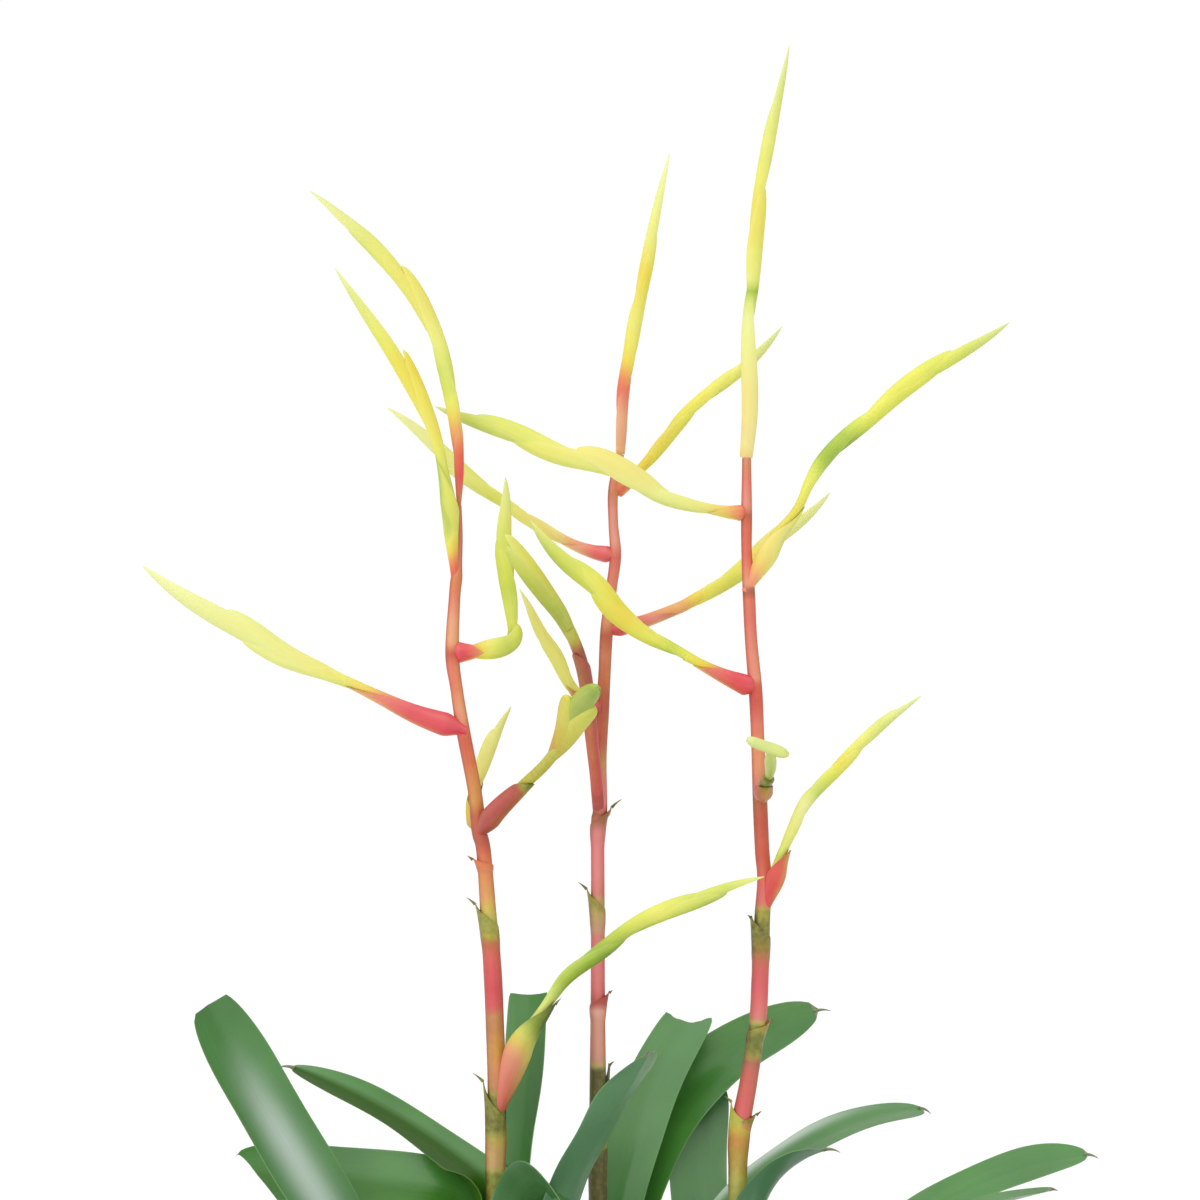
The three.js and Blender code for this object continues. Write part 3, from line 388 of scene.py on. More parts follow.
            (16.3, -23, 449.6), (0, -23, 457), (-18.6, -22, 462.5), (-36.1, -21, 469.7),
            (-53.8, -20, 476.4), (-74, -18, 483.1)],
        "sheath": (0.12, 3.7, 0),
        "bracts": [(6, 42, 1, 3.4, 0.8), (24, 56, -1, 5.6, 2, -4), (36, 76, 1, 4.5, 1.4),
            (52, 88, -1, 4.1, 0.6, 3), (62, 100, 1, 3.5, 0, 4)],
        "tones": [(5, 42, 0, 25), (14, 50, 0, 35), (28, 56, 0, 45), (38, 50, 0, 40), (50, 50, 0, 35),
            (58, 50, 0, 25), (70, 56, 0, 15), (80, 60, 0, 15), (90, 66, 0, 15), (100, 66, 0, 90)],
        "sheath_tones": [(0, 10), (50, 34, 0, 10), (100, 50, 0, 25)],
    },
    "right_6": {
        "path": [(66, -14, 460), (68, -14, 482), (67.8, -14, 509), (68.3, -14, 534), (69.6, -14, 563.2),
            (74.7, -14, 594), (79.2, -14, 620.2), (85.1, -14, 646.2)],
        "bracts": [(0, 43, 1, 3.7, 0.2), (34, 66, -1, 3.7, 0.3), (46, 86, 1, 2.6, 0.3),
            (60, 100, -1, 2.3)],
        "tones": [(0, 24, 10, 40), (3, 34, 0, 55), (16, 42, 0, 50), (25, 50, 0, 50), (33, 60, 0, 60),
            (37, 68, 0, 30), (40, 84), (43, 60, 0, 30), (52, 50, 0, 15), (60, 50, 0, 10), (70, 56, 0, 15),
            (80, 62, 0, 30), (90, 66, 0, 40), (100, 66, 0, 90)],
        "foot": 1.2,
    },
}

PLAIN_BRACT = (0, 0, None)
BRACT = {
    "thickness": 0.62, "foot": 0.35, "stem_foot": 1.7, "swell": 2.2, "taper": 0.5,
    "end_taper": 0.75, "point": 0.07, "wrap": 165, "tip_wrap": 110, "wall": 0.35, "least": 0.05,
    "rows": 44, "columns": 27, "keel": 0.14, "keel_width": 0.35, "offset": 0.22,
    "offset_rise": (0, 0.3), "offset_fall": (0.7, 1), "wrap_span": (0.2, 1),
    # The side that faces the ground is painted greener as shade.
    "green_foot": 0.1, "foot_end": 0.16, "shade_below": 0.1, "green_keel": 0.05,
    "green_width": 0.25, "green_start": 0.3, "pale_edge": 0.15,
}
STEM = {"start": 0.02, "depth": 2.1, "flatness": 0.85, "overlap": 0.12, "rows": 24, "sides": 20}
CROSS_TONE = {"ripe": 0.74, "pale": (0.35, 0.25)}
PLAIN_SHEATH = (0.18, 2.2, 2.2)
SHEATH = {
    "wall": 0.4, "tip_thinning": 0.6, "foot_reach": 2.7, "wrap": 168, "tip_wrap": 16,
    "flatness": 0.8, "rooted": 0.6, "keel": 0.05, "keel_width": 0.3, "rows": 40, "columns": 27,
    "fill_span": (0.3, 0.96), "fill_gap": 0.15, "tone_span": (0.3, 0.95), "inner_pale": 0.6,
    "lower_edge": 0.2, "lower_width": 0.75, "lower_rise": 0.4,
    # A paler band painted on each flank near the foot as a highlight: its strength, place, width and the
    # ripeness where it fades out.
    "painted_highlight": 0.12, "highlight_at": 2.0, "highlight_width": 0.5, "highlight_ripe": 0.4,
    "hair_radius": 0.7, "hair_turn": 0.4, "hair_ripe": 0.6,
}


# ---------------------------------------------------------------- numbers and lines

def filled(row, plain, given):
    """A table row that gives so many values at least, ended with the plain ones it leaves out."""
    return (*row, *plain[len(row) - given:])


def grid(rows, columns):
    """Shares from 0 to 1 down the rows and places from -1 to 1 across the columns."""
    return np.linspace(0, 1, rows)[:, None], np.linspace(-1, 1, columns)[None, :]


def around(sides):
    """Even angles round a ring."""
    return np.linspace(0, 2 * math.pi, sides, endpoint=False)[None, :]


def smooth(x, low, high):
    """A smooth step: 0 below low, 1 above high, and 3t^2 - 2t^3 between."""
    t = np.clip((x - low) / (high - low), 0, 1)
    return t * t * (3 - 2 * t)


def unit(vectors):
    """Each vector divided by its length."""
    return vectors / np.linalg.norm(vectors, axis=-1, keepdims=True)


def clear_of(vectors, axis):
    """Each vector less its part along the axis, made unit length."""
    return unit(vectors - axis * np.sum(vectors * axis, axis=-1, keepdims=True))


def turned(vectors, axis, angle):
    """Vectors at right angles to the axis, turned about it: v cos + (axis x v) sin."""
    angle = np.asarray(angle)[..., None]
    return vectors * np.cos(angle) + np.cross(axis, vectors) * np.sin(angle)


def line_through(points, steps=40):
    """A Catmull-Rom line: between two points a cubic whose end slopes are half the way from
    the point before to the point after; each end has a mirrored neighbour. Returns the points
    on it, with any further columns, and the share of the length at each."""
    stops = np.array(points, float)
    stops = np.vstack([2 * stops[0] - stops[1], stops, 2 * stops[-1] - stops[-2]])
    a, b, c, d = (stops[i:len(stops) - 3 + i, None] for i in range(4))
    t = np.linspace(0, 1, steps, endpoint=False)[None, :, None]
    cubic = 2 * b + (c - a) * t + (2 * a - 5 * b + 4 * c - d) * t**2
    cubic = (cubic + (3 * b - a - 3 * c + d) * t**3) / 2
    curve = np.vstack([cubic.reshape(-1, stops.shape[1]), stops[-2]])
    reach = np.linalg.norm(np.diff(curve[:, :3], axis=0), axis=1)
    share = np.concatenate([[0], np.cumsum(reach)]) / reach.sum()
    return curve, share


def read(share, values, at):
    """Each column of the values, read between its samples at the shares asked for."""
    columns = [np.interp(at, share, values[:, k]) for k in range(values.shape[1])]
    return np.stack(columns, axis=-1)


def line_frames(line, at, fan=None):
    """Where the line is at each share, and its three directions: along it, to side 1 of the
    fan, and across both."""
    curve, share = line
    slope = np.gradient(curve[:, :3], share, axis=0)
    origin = read(share, curve[:, :3], at)
    along = unit(read(share, slope, at))
    side = np.cross(along, FORWARD) if fan is None else np.broadcast_to(fan, along.shape)
    side = clear_of(side, along)
    return origin, along, side, np.cross(along, side)


# ---------------------------------------------------------------- skins and pieces

def skin(rings, **fields):
    """A closed skin over rows of rings, each ring counter-clockwise about the way of travel.
    Fields are values for each point, by row and place in the ring. The ends are closed by
    strips from one half of the ring to the other."""
    rows, count = rings.shape[:2]
    start = np.arange(rows - 1)[:, None] * count
    here = np.arange(count)[None, :]
    after = (here + 1) % count
    walls = np.stack([start + here, start + after, start + count + after,
                      start + count + here], axis=-1).reshape(-1, 4)
    near = np.arange(count // 2 - 1)
    far = count - 1 - near
    foot = np.stack([near, far, far - 1, near + 1], axis=-1)
    last = (rows - 1) * count
    end = last + np.stack([near, near + 1, far - 1, far], axis=-1)
    values = {key: np.broadcast_to(value, (rows, count)).ravel() for key, value in fields.items()}
    return rings.reshape(-1, 3), np.concatenate([walls, foot, end]), values


def shell(outer, inner, **fields):
    """A thin closed shell from an outer face and an inner face on the same grid. A field with
    the grid's columns is mirrored on to the inner face."""
    for key, value in fields.items():
        value = np.atleast_2d(value)
        if value.shape[1] == outer.shape[1]:
            value = np.concatenate([value, value[:, ::-1]], axis=1)
        fields[key] = value
    return skin(np.concatenate([outer, inner[:, ::-1]], axis=1), **fields)


def placed(name, data):
    """A new object of this data, in the scene."""
    made = bpy.data.objects.new(name, data)
    bpy.context.scene.collection.objects.link(made)
    return made


FIELDS = ("along", "across", "under", "dry", "streak", "ripe", "bronze", "pale")
SHARP_ANGLE = math.radians(55)


def make_piece(name, skins, material, node):
    """One mesh object from several skins, with every field as a point attribute."""
    offsets = np.cumsum([0] + [len(points) for points, _, _ in skins])
    points = np.concatenate([points for points, _, _ in skins]) * MM
    faces = np.concatenate([faces + start for (_, faces, _), start in zip(skins, offsets)])
    mesh = bpy.data.meshes.new(name)
    mesh.from_pydata(points.tolist(), [], faces.tolist())
    for field in FIELDS:
        parts = [values.get(field, np.zeros(len(own))) for own, _, values in skins]
        attribute = mesh.attributes.new(field, "FLOAT", "POINT")
        attribute.data.foreach_set("value", np.concatenate(parts).astype(np.float32))
    mesh.polygons.foreach_set("use_smooth", np.ones(len(mesh.polygons), bool))
    mesh.set_sharp_from_angle(angle=SHARP_ANGLE)
    mesh.materials.append(material)
    piece = placed(name, mesh)
    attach(piece, "root")
    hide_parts(node)
    return piece


def oval(origin, side, across, depth, thickness, sides):
    """Oval rings: origin + side depth cos + across thickness sin."""
    angle = around(sides)[..., None]
    depth, thickness = (np.reshape(v, (-1, 1, 1)) for v in (depth, thickness))
    return (origin[:, None] + side[:, None] * (depth * np.cos(angle))
            + across[:, None] * thickness * np.sin(angle))


def drawn_point(root, way, bend, length, radius, turn, **fields):
    """A tapering point that leaves the root along one direction and bends towards another by
    the angle turn: an arc of that length, its radius falling from radius to an eighth."""
    t = np.linspace(0, 1, POINT["rows"])
    bend = clear_of(bend, way)
    cosine, sine = np.cos(turn * t)[:, None], np.sin(turn * t)[:, None]
    origin = root + (sine * way + (1 - cosine) * bend) * length / turn
    ahead = cosine * way + sine * bend
    across = np.broadcast_to(np.cross(way, bend), ahead.shape)
    width = radius * (1 - POINT["taper"] * t)
    side = np.cross(across, ahead)
    return skin(oval(origin, side, across, width, width, POINT["sides"]), **fields)


# ---------------------------------------------------------------- leaves

def cone_height(radius):
    """How high the cone of a stock stands at a distance from its axis."""
    fall = (STOCK["top_height"] - STOCK["waist_height"]) / (STOCK["waist"] - STOCK["top"])
    return STOCK["top_height"] - (radius - STOCK["top"]) * fall


def leaf_line(leaf, order, axis):
    """The middle line of a leaf. Its angle from upright eases from lean to arch; its distance
    from the axis and its height are the running sums of that angle's sine and cosine, and its
    heading changes with the square of the share. Returns columns of point, along, upper face
    direction and curl at even shares."""
    turn, lean, arch, length, _, sweep, bend, twist = leaf
    share = np.linspace(0, 1, LEAF["samples"])
    tilt = np.radians(lean + (arch - lean) * smooth(share, *bend))
    middle = (tilt[1:] + tilt[:-1]) / 2
    step = length / (LEAF["samples"] - 1)
    radius = LEAF_BASE["heart_radius"] + LEAF_BASE["radius_step"] * order
    foot = cone_height(radius - LEAF_BASE["cad_thickness"] / 2) + LEAF_BASE["clearance"]
    rho = radius + np.concatenate([[0], np.cumsum(np.sin(middle) * step)])
    height = foot + np.concatenate([[0], np.cumsum(np.cos(middle) * step)])
    heading = np.radians(turn + sweep * share**2)
    out = np.stack([np.cos(heading), np.sin(heading), 0 * heading], axis=-1)
    point = np.array([*axis, 0]) + out * rho[:, None] + UP * height[:, None]
    along = unit(np.gradient(point, axis=0))
    upper = clear_of(UP * np.sin(tilt)[:, None] - out * np.cos(tilt)[:, None], along)
    upper = turned(upper, along, np.radians(twist) * smooth(share, *LEAF["twist_span"]))
    curl = np.maximum(np.cos(tilt) / rho, 1 / LEAF["channel_radius"])
    return share, np.column_stack([point, along, upper, curl])


def leaf_half_width(width, share, end):
    """Half the leaf's width: narrower at the foot, even along the strap, rounded off or blunt
    at the end."""
    opening = smooth(share, 0, LEAF["shoulder"])
    strap = width / 2 * (LEAF["foot_width"] + (1 - LEAF["foot_width"]) * opening)
    past = np.clip((share - LEAF["tip_start"]) / (1 - LEAF["tip_start"]), 0, 1)
    round_end = np.sqrt(1 - past ** LEAF["tip_power"])
    kept = end["blunt"] + (1 - end["blunt"]) * round_end
    return np.maximum(strap * kept, LEAF["least_half"])


def leaf_skins(leaf, order, axis, end, seed):
    """A strap leaf over a grid of share and place across (-1 to 1): a point on the middle
    line, carried round an arc of the leaf's curl, sunk along the middle as a channel, and
    rippled at the edges by a sine. The blade is thickest in the middle. A blunt end is cut
    askew, bitten in and ragged by two sines; any other may draw out into a hook."""
    leaf = filled(leaf, PLAIN_LEAF, 5)
    width = leaf[4]
    draw = np.random.default_rng(seed)
    phase, swells = draw.uniform(0, 2 * math.pi, 2), draw.uniform(*LEAF["swells"])
    v, a = grid(LEAF["rows"], LEAF["columns"])
    a = np.sin(a * math.pi / 2)
    coarse, fine = LEAF["ragged"]
    ragged = coarse * np.sin(7 * a + phase[0]) + fine * np.sin(17 * a + phase[1])
    cut = end["slant"] * a + end["notch"] * (1 - np.abs(a) + ragged)
    share = v - (cut - cut.min()) * smooth(v, LEAF["cut_start"], 1)
    at, columns = leaf_line(leaf, order, axis)
    values = read(at, columns, share)
    point, along, upper = values[..., 0:3], values[..., 3:6], values[..., 6:9]
    curl = values[..., 9:10]
    across = np.cross(upper, along)
    half = leaf_half_width(width, share, end)[..., None]
    angle = curl * half * a[..., None]
    ripple = np.sin(2 * math.pi * swells * v + phase[0] + 0.9 * np.sign(a)) * np.abs(a) ** 3
    lift = LEAF["wave"] * ripple * smooth(v, *LEAF["wave_span"])
    channel = 1 - smooth(np.abs(a), 0, LEAF["groove_half"])
    lift = lift - LEAF["groove"] * channel * smooth(v, *LEAF["groove_span"])
    middle = (point + across * np.sin(angle) / curl
              + upper * ((1 - np.cos(angle)) / curl + lift[..., None]))
    out = upper * np.cos(angle) - across * np.sin(angle)
    past = smooth(v, LEAF["tip_start"], 1)
    thin = LEAF["edge_thickness"] + (LEAF["thickness"] - LEAF["edge_thickness"]) * (1 - a**2)
    thick = (thin * (1 - LEAF["end_thinning"] * past) / 2)[..., None]
    dry = smooth(v, 1 - end["dry"], 1 - 0.25 * end["dry"]) if end["dry"] else 0
    # A paler stripe painted on along the leaf as a highlight.
    place, half_width, strength = end["streak"]
    streak = strength * np.exp(-((a - place) / half_width) ** 2)
    streak = streak * smooth(v, *LEAF["sheen_rise"]) * (1 - smooth(v, *LEAF["sheen_fall"]))
    # One side of the leaf painted darker, as shade.
    darker, painted_shade, shade_start = end["painted_shade"]
    painted_shade = painted_shade * smooth(darker * a, shade_start, shade_start + LEAF["shade_blend"])
    under = np.repeat([1.0, 0.0], LEAF["columns"])
    skins = [shell(middle - out * thick, middle + out * thick, along=v, across=a, under=under,
                   dry=dry, streak=streak, bronze=painted_shade, pale=end["bloom"])]
    if end["hook"]:
        tip = read(at, columns, np.array([1.0]))[0]
        place, ahead, up = tip[:3], tip[3:6], tip[6:9]
        skins.append(drawn_point(place - LEAF_HOOK["inset"] * ahead, ahead,
                                 -UP - LEAF_HOOK["droop"] * up, end["hook"], LEAF_HOOK["radius"],
                                 LEAF_HOOK["turn"], dry=LEAF_HOOK["dry"], along=1.0))
    return skins


# ---------------------------------------------------------------- stalks

def tones_at(rows, at, unit=100):
    """Ripeness, bronze and paleness at these places, read between a table's rows: the place in
    that unit, then the tones in percent."""
    stops = np.array([filled(row, (0, 0), 2) for row in rows]) / (unit, 100, 100, 100)
    return [np.interp(at, stops[:, 0], stops[:, k]) for k in (1, 2, 3)]


def bare_tones(name, height, aside):
    """The stalk's own ripeness, bronze and paleness at a height, with light and shade painted
    in. aside is the cosine of the angle from its right: both edges are painted in shade, more
    crimson, darker and less pale, so the paleness stands as a painted highlight down the middle;
    the left side is painted darker as shade and the right side painted lit, a little riper."""
    ripe, bronze, pale = tones_at(STALK_TONES[name], height, 1)
    # Painted shade at both edges and on the left, painted light on the right, and the paleness kept to
    # the middle as a painted highlight.
    edge = aside ** 6
    ripe = ripe + STALK["lit_right"] * np.clip(aside, 0, 1)
    bronze = bronze + STALK["tan"] + STALK["shaded_edge"] * edge
    bronze = bronze + STALK["shaded_left"] * np.clip(-aside, 0, 1) ** 3
    pale = pale * (1 - STALK["unlit_edge"] * aside ** 2)
    return ripe * (1 - STALK["shaded_edge_crimson"] * edge), bronze, pale


def stalk_line(name):
    """A stalk's line, with its radius as a further column."""
    y = ROSETTES[name][1]
    return line_through([(x, y, z, radius) for x, z, radius in STALKS[name]])


def stalk_skin(name):
    """The bare stalk: rings of the interpolated radius, with shallow ribs along it."""
    line = stalk_line(name)
    share = np.linspace(0, 1, STALK["rows"])
    origin, along, _, _ = line_frames(line, share)
    side = clear_of(np.cross(FORWARD, along), along)
    radius = read(line[1], line[0][:, 3:4], share)[:, 0]
    rings = oval(origin, side, np.cross(along, side), radius, radius, STALK["sides"])
    angle = around(STALK["sides"])
    ribs = 1 + STALK["rib_depth"] * np.cos(STALK["ribs"] * angle)
    rings = origin[:, None] + (rings - origin[:, None]) * ribs[..., None]
    height = origin[:, 2:3]
    ripe, bronze, pale = bare_tones(name, height, np.cos(angle))
    return skin(rings, along=height / 100, across=angle / math.pi - 1, ripe=ripe,
                bronze=bronze, pale=pale)


def stalk_bract_skins(name, foot, tip, turn, ripe, bronze, point_length):
    """A bract that clasps the stalk: a sleeve that leaves the stalk's skin unseen and opens
    upwards into a point. The half angle it wraps falls from full to little past the share that
    stays closed, its tip leans out by the cube of the share, and its tones run from the
    stalk's own, with the stalk's painted light and shade, to the bract's."""
    heading = math.radians(turn)
    facing = np.array([math.cos(heading), math.sin(heading), 0])
    aside = np.cross(UP, facing)
    t, a = grid(STALK_BRACT["rows"], STALK_BRACT["columns"])
    curve = stalk_line(name)[0]
    core = read(curve[:, 2], curve, foot + (tip - foot) * t[:, 0])
    opening = smooth(t, STALK_BRACT["open"], 1)
    wrap = STALK_BRACT["wrap"] + (STALK_BRACT["tip_wrap"] - STALK_BRACT["wrap"]) * opening
    angle = np.radians(wrap) * a
    lean = STALK_BRACT["lift"] * t**3
    reach = core[:, 3:4] + STALK_BRACT["swell"] * smooth(t, *STALK_BRACT["swell_span"])
    wall = STALK_BRACT["foot_wall"] + STALK_BRACT["wall"] * smooth(t, *STALK_BRACT["wall_span"])
    spoke = facing * np.cos(angle)[..., None] + aside * np.sin(angle)[..., None]

    def face(extra):
        return (core[:, None, :3] + spoke * (reach + extra)[..., None]
                + facing * lean[..., None])

    own = smooth(t, *STALK_BRACT["own_tone"])
    # The stalk's tones round the sleeve, with the stalk's painted shade at the edges and on the left and
    # its painted light on the right.
    bare = bare_tones(name, core[:, 2:3], spoke[..., 0])
    mixed = [stalk * (1 - own) + tone * own for stalk, tone in zip(bare, (ripe, bronze, 0))]
    outside = face(wall)
    sleeve = shell(outside, face(0), along=t, across=a, ripe=mixed[0], bronze=mixed[1],
                   pale=mixed[2])
    root = outside[-1, STALK_BRACT["columns"] // 2] - facing * STALK_HAIR["sink"] - UP
    way = unit(UP * STALK_HAIR["rise"] + facing * STALK_HAIR["out"])
    hair = drawn_point(root, way, facing, point_length, STALK_HAIR["radius"], STALK_HAIR["turn"],
                       ripe=STALK_HAIR["ripe"], bronze=1.0, along=1.0)
    return [sleeve, hair]


def sheath_reach(t, depth, fullest, tip_reach):
    """How far a clasping bract stands from its line: it comes out of the stalk, is fullest
    just clear of it, and narrows evenly to its tip."""
    foot, wall, rooted = SHEATH["foot_reach"], SHEATH["wall"], SHEATH["rooted"]
    clear = smooth(t, 0, fullest)
    slim = min(1, depth / (foot + wall))
    straight = (foot + (tip_reach - foot) * t) * slim * (rooted + (1 - rooted) * clear)
    fall = 1 - np.clip((t - fullest) / (1 - fullest), 0, 1)
    return straight, max(depth - foot - wall, 0) * clear * fall


def sheath_skins(line, sheath, tones, spike_tones, fan):
    """The bract that a spike stands in: a boat that clasps the spike's foot from below, and
    the thick stem that fills it and narrows to the spike's own. The boat's half angle falls
    from wrap to tip_wrap, and both bulge near the foot."""
    end, depth, point_length, fullest, tip_reach, power = filled(sheath, PLAIN_SHEATH, 3)
    t, a = grid(SHEATH["rows"], SHEATH["columns"])
    origin, along, _, _ = line_frames(line, end * t[:, 0], fan)
    facing = clear_of(np.broadcast_to(-UP, along.shape), along)
    aside = np.cross(along, facing)
    straight, bulge = sheath_reach(t, depth, fullest, tip_reach)
    wrap = SHEATH["tip_wrap"] + (SHEATH["wrap"] - SHEATH["tip_wrap"]) * (1 - t ** power)
    angle = np.radians(wrap) * a
    keel = 1 + SHEATH["keel"] * np.exp(-(angle / SHEATH["keel_width"]) ** 2)
    full, flat = straight + bulge, straight + bulge * SHEATH["flatness"]

    def face(extra):
        return (origin[:, None] + facing[:, None] * ((full * keel + extra) * np.cos(angle))[..., None]
                + aside[:, None] * ((flat + extra) * np.sin(angle))[..., None])

    own_ripe, bronze, own_pale = tones_at(tones, t)
    lower = np.exp(-(angle / SHEATH["lower_width"]) ** 2) * smooth(t, 0, SHEATH["lower_rise"])
    ripe = own_ripe + SHEATH["lower_edge"] * lower
    # A painted highlight: a paler band on each flank, strongest at the foot and fading out as the bract
    # ripens towards yellow.
    off_highlight = (np.abs(angle) - SHEATH["highlight_at"]) / SHEATH["highlight_width"]
    painted_highlight = np.exp(-off_highlight ** 2) * (1 - t) * np.clip(1 - ripe / SHEATH["highlight_ripe"], 0, 1)
    outside = face(SHEATH["wall"] * (1 - SHEATH["tip_thinning"] * t))
    boat = shell(outside, face(0), along=t, across=a, ripe=ripe, bronze=bronze,
                 pale=own_pale + SHEATH["painted_highlight"] * painted_highlight)
    fill = 1 - smooth(t, *SHEATH["fill_span"])
    deep, thin = STEM["depth"], STEM["depth"] * STEM["flatness"]
    core = oval(origin, facing, aside, deep + (full - SHEATH["fill_gap"] - deep) * fill,
                thin + (flat - SHEATH["fill_gap"] - thin) * fill, STEM["sides"])
    change = smooth(t, *SHEATH["tone_span"])
    spike_ripe, spike_bronze, spike_pale = tones_at(spike_tones, end * t)
    stem = skin(core, along=t, ripe=own_ripe * (1 - change) + spike_ripe * change,
                bronze=spike_bronze * change,
                pale=(1 - change) * own_pale + SHEATH["inner_pale"] * spike_pale * change)
    skins = [boat, stem]
    if point_length:
        tip = outside[-1, SHEATH["columns"] // 2]
        skins.append(drawn_point(tip - along[-1], along[-1], facing[-1], point_length,
                                 SHEATH["hair_radius"], SHEATH["hair_turn"],
                                 ripe=SHEATH["hair_ripe"], bronze=1.0, along=1.0))
    return skins


# ---------------------------------------------------------------- spikes

def flower_bract(line, bract, tones, fan, tip_wrap, stem_foot):
    """A folded bract along a stretch of the spike: at each share an open oval with a keel on
    its side, fullest before the middle and drawn out to a point. Its tip stands off by the
    cube of the share, and it wraps less of the spike towards the tip. It is greener at its
    foot and on its keel, and the side that faces the ground is painted greener as shade."""
    start, end, side_sign, depth, stand, tint, taper = filled(bract, PLAIN_BRACT, 4)
    taper = taper or BRACT["end_taper" if end == 100 else "taper"]
    start, end = start / 100, end / 100
    t, a = grid(BRACT["rows"], BRACT["columns"])
    at = start + (end - start) * t[:, 0]
    origin, _, side, across = line_frames(line, at, fan)
    foot = BRACT["foot"] if start else stem_foot
    full = (1 - t) ** taper * (foot + BRACT["swell"] * t)
    reach = depth * np.maximum(full / full.max(), BRACT["point"])
    shift = BRACT["offset"] * smooth(t, *BRACT["offset_rise"])
    shift = shift * (1 - smooth(t, *BRACT["offset_fall"])) + stand * t**3
    wrap = BRACT["wrap"] + (tip_wrap - BRACT["wrap"]) * smooth(t, *BRACT["wrap_span"])
    angle = np.radians(wrap) * a
    keel = 1 + BRACT["keel"] * np.exp(-(angle / BRACT["keel_width"]) ** 2)
    side, across = side[:, None] * side_sign, across[:, None] * side_sign

    def face(extra):
        deep = np.maximum(reach * keel + extra, BRACT["least"])
        wide = np.maximum(reach * BRACT["thickness"] + extra, BRACT["least"])
        return (origin[:, None] + side * (shift + deep * np.cos(angle))[..., None]
                + across * (wide * np.sin(angle))[..., None])

    spoke = side * np.cos(angle)[..., None] + across * np.sin(angle)[..., None]
    on_keel = BRACT["green_keel"] * np.exp(-(angle / BRACT["green_width"]) ** 2)
    # Greener at the foot and on the keel is the bract's own colour; greener on the side that faces the
    # ground is painted shade.
    greener = (BRACT["green_foot"] * (1 - smooth(t, 0, BRACT["foot_end"]))
               + BRACT["shade_below"] * np.clip(-spoke[..., 2], 0, 1)
               + on_keel * smooth(t, BRACT["green_start"], 1))
    ripe, bronze, pale = (tone[:, None] for tone in tones_at(tones, at))
    return shell(face(0), face(-BRACT["wall"]), along=t, across=a,
                 ripe=ripe + tint / 100 + greener, bronze=bronze,
                 pale=pale + BRACT["pale_edge"] * np.abs(a) ** 4)


def cross_bract(points):
    """A closed bract that lies across the top of a spike: oval rings of the given radii."""
    line = line_through(points)
    at = np.linspace(0, 1, STEM["rows"])
    origin, _, side, across = line_frames(line, at)
    radius = read(line[1], line[0][:, 3:4], at)[:, 0]
    rings = oval(origin, side, across, radius, radius * STEM["flatness"], STEM["sides"])
    foot_pale, more_pale = CROSS_TONE["pale"]
    return skin(rings, along=at[:, None], ripe=CROSS_TONE["ripe"],
                pale=foot_pale + more_pale * at[:, None])


def spike_skins(spike):
    """A spike: its stem as an oval tube up to the first bract, and its folded bracts."""
    line = line_through(spike["path"])
    fan, tip_wrap = spike.get("fan"), spike.get("tip_wrap", BRACT["tip_wrap"])
    tones, foot = spike["tones"], spike.get("foot", BRACT["stem_foot"])
    skins = [flower_bract(line, bract, tones, fan, tip_wrap, foot) for bract in spike["bracts"]]
    first = spike["bracts"][0][0] / 100
    if first > 0:
        at = np.linspace(STEM["start"], first + STEM["overlap"], STEM["rows"])
        origin, _, side, across = line_frames(line, at, fan)
        depth = spike.get("stem", STEM["depth"])
        rings = oval(origin, side, across, depth, depth * STEM["flatness"], STEM["sides"])
        ripe, bronze, pale = (tone[:, None] for tone in tones_at(tones, at))
        skins.append(skin(rings, along=at[:, None], ripe=ripe, bronze=bronze, pale=pale))
    if "cross" in spike:
        skins.append(cross_bract(spike["cross"]))
    return skins


# ---------------------------------------------------------------- materials

def paint(red, green, blue):
    """A colour given in the 0 to 255 of a paint chart, as the linear colour that shaders use."""
    share = np.array([red, green, blue]) / 255
    linear = np.where(share <= 0.04045, share / 12.92, ((share + 0.055) / 1.055) ** 2.4)
    return (*linear.tolist(), 1.0)


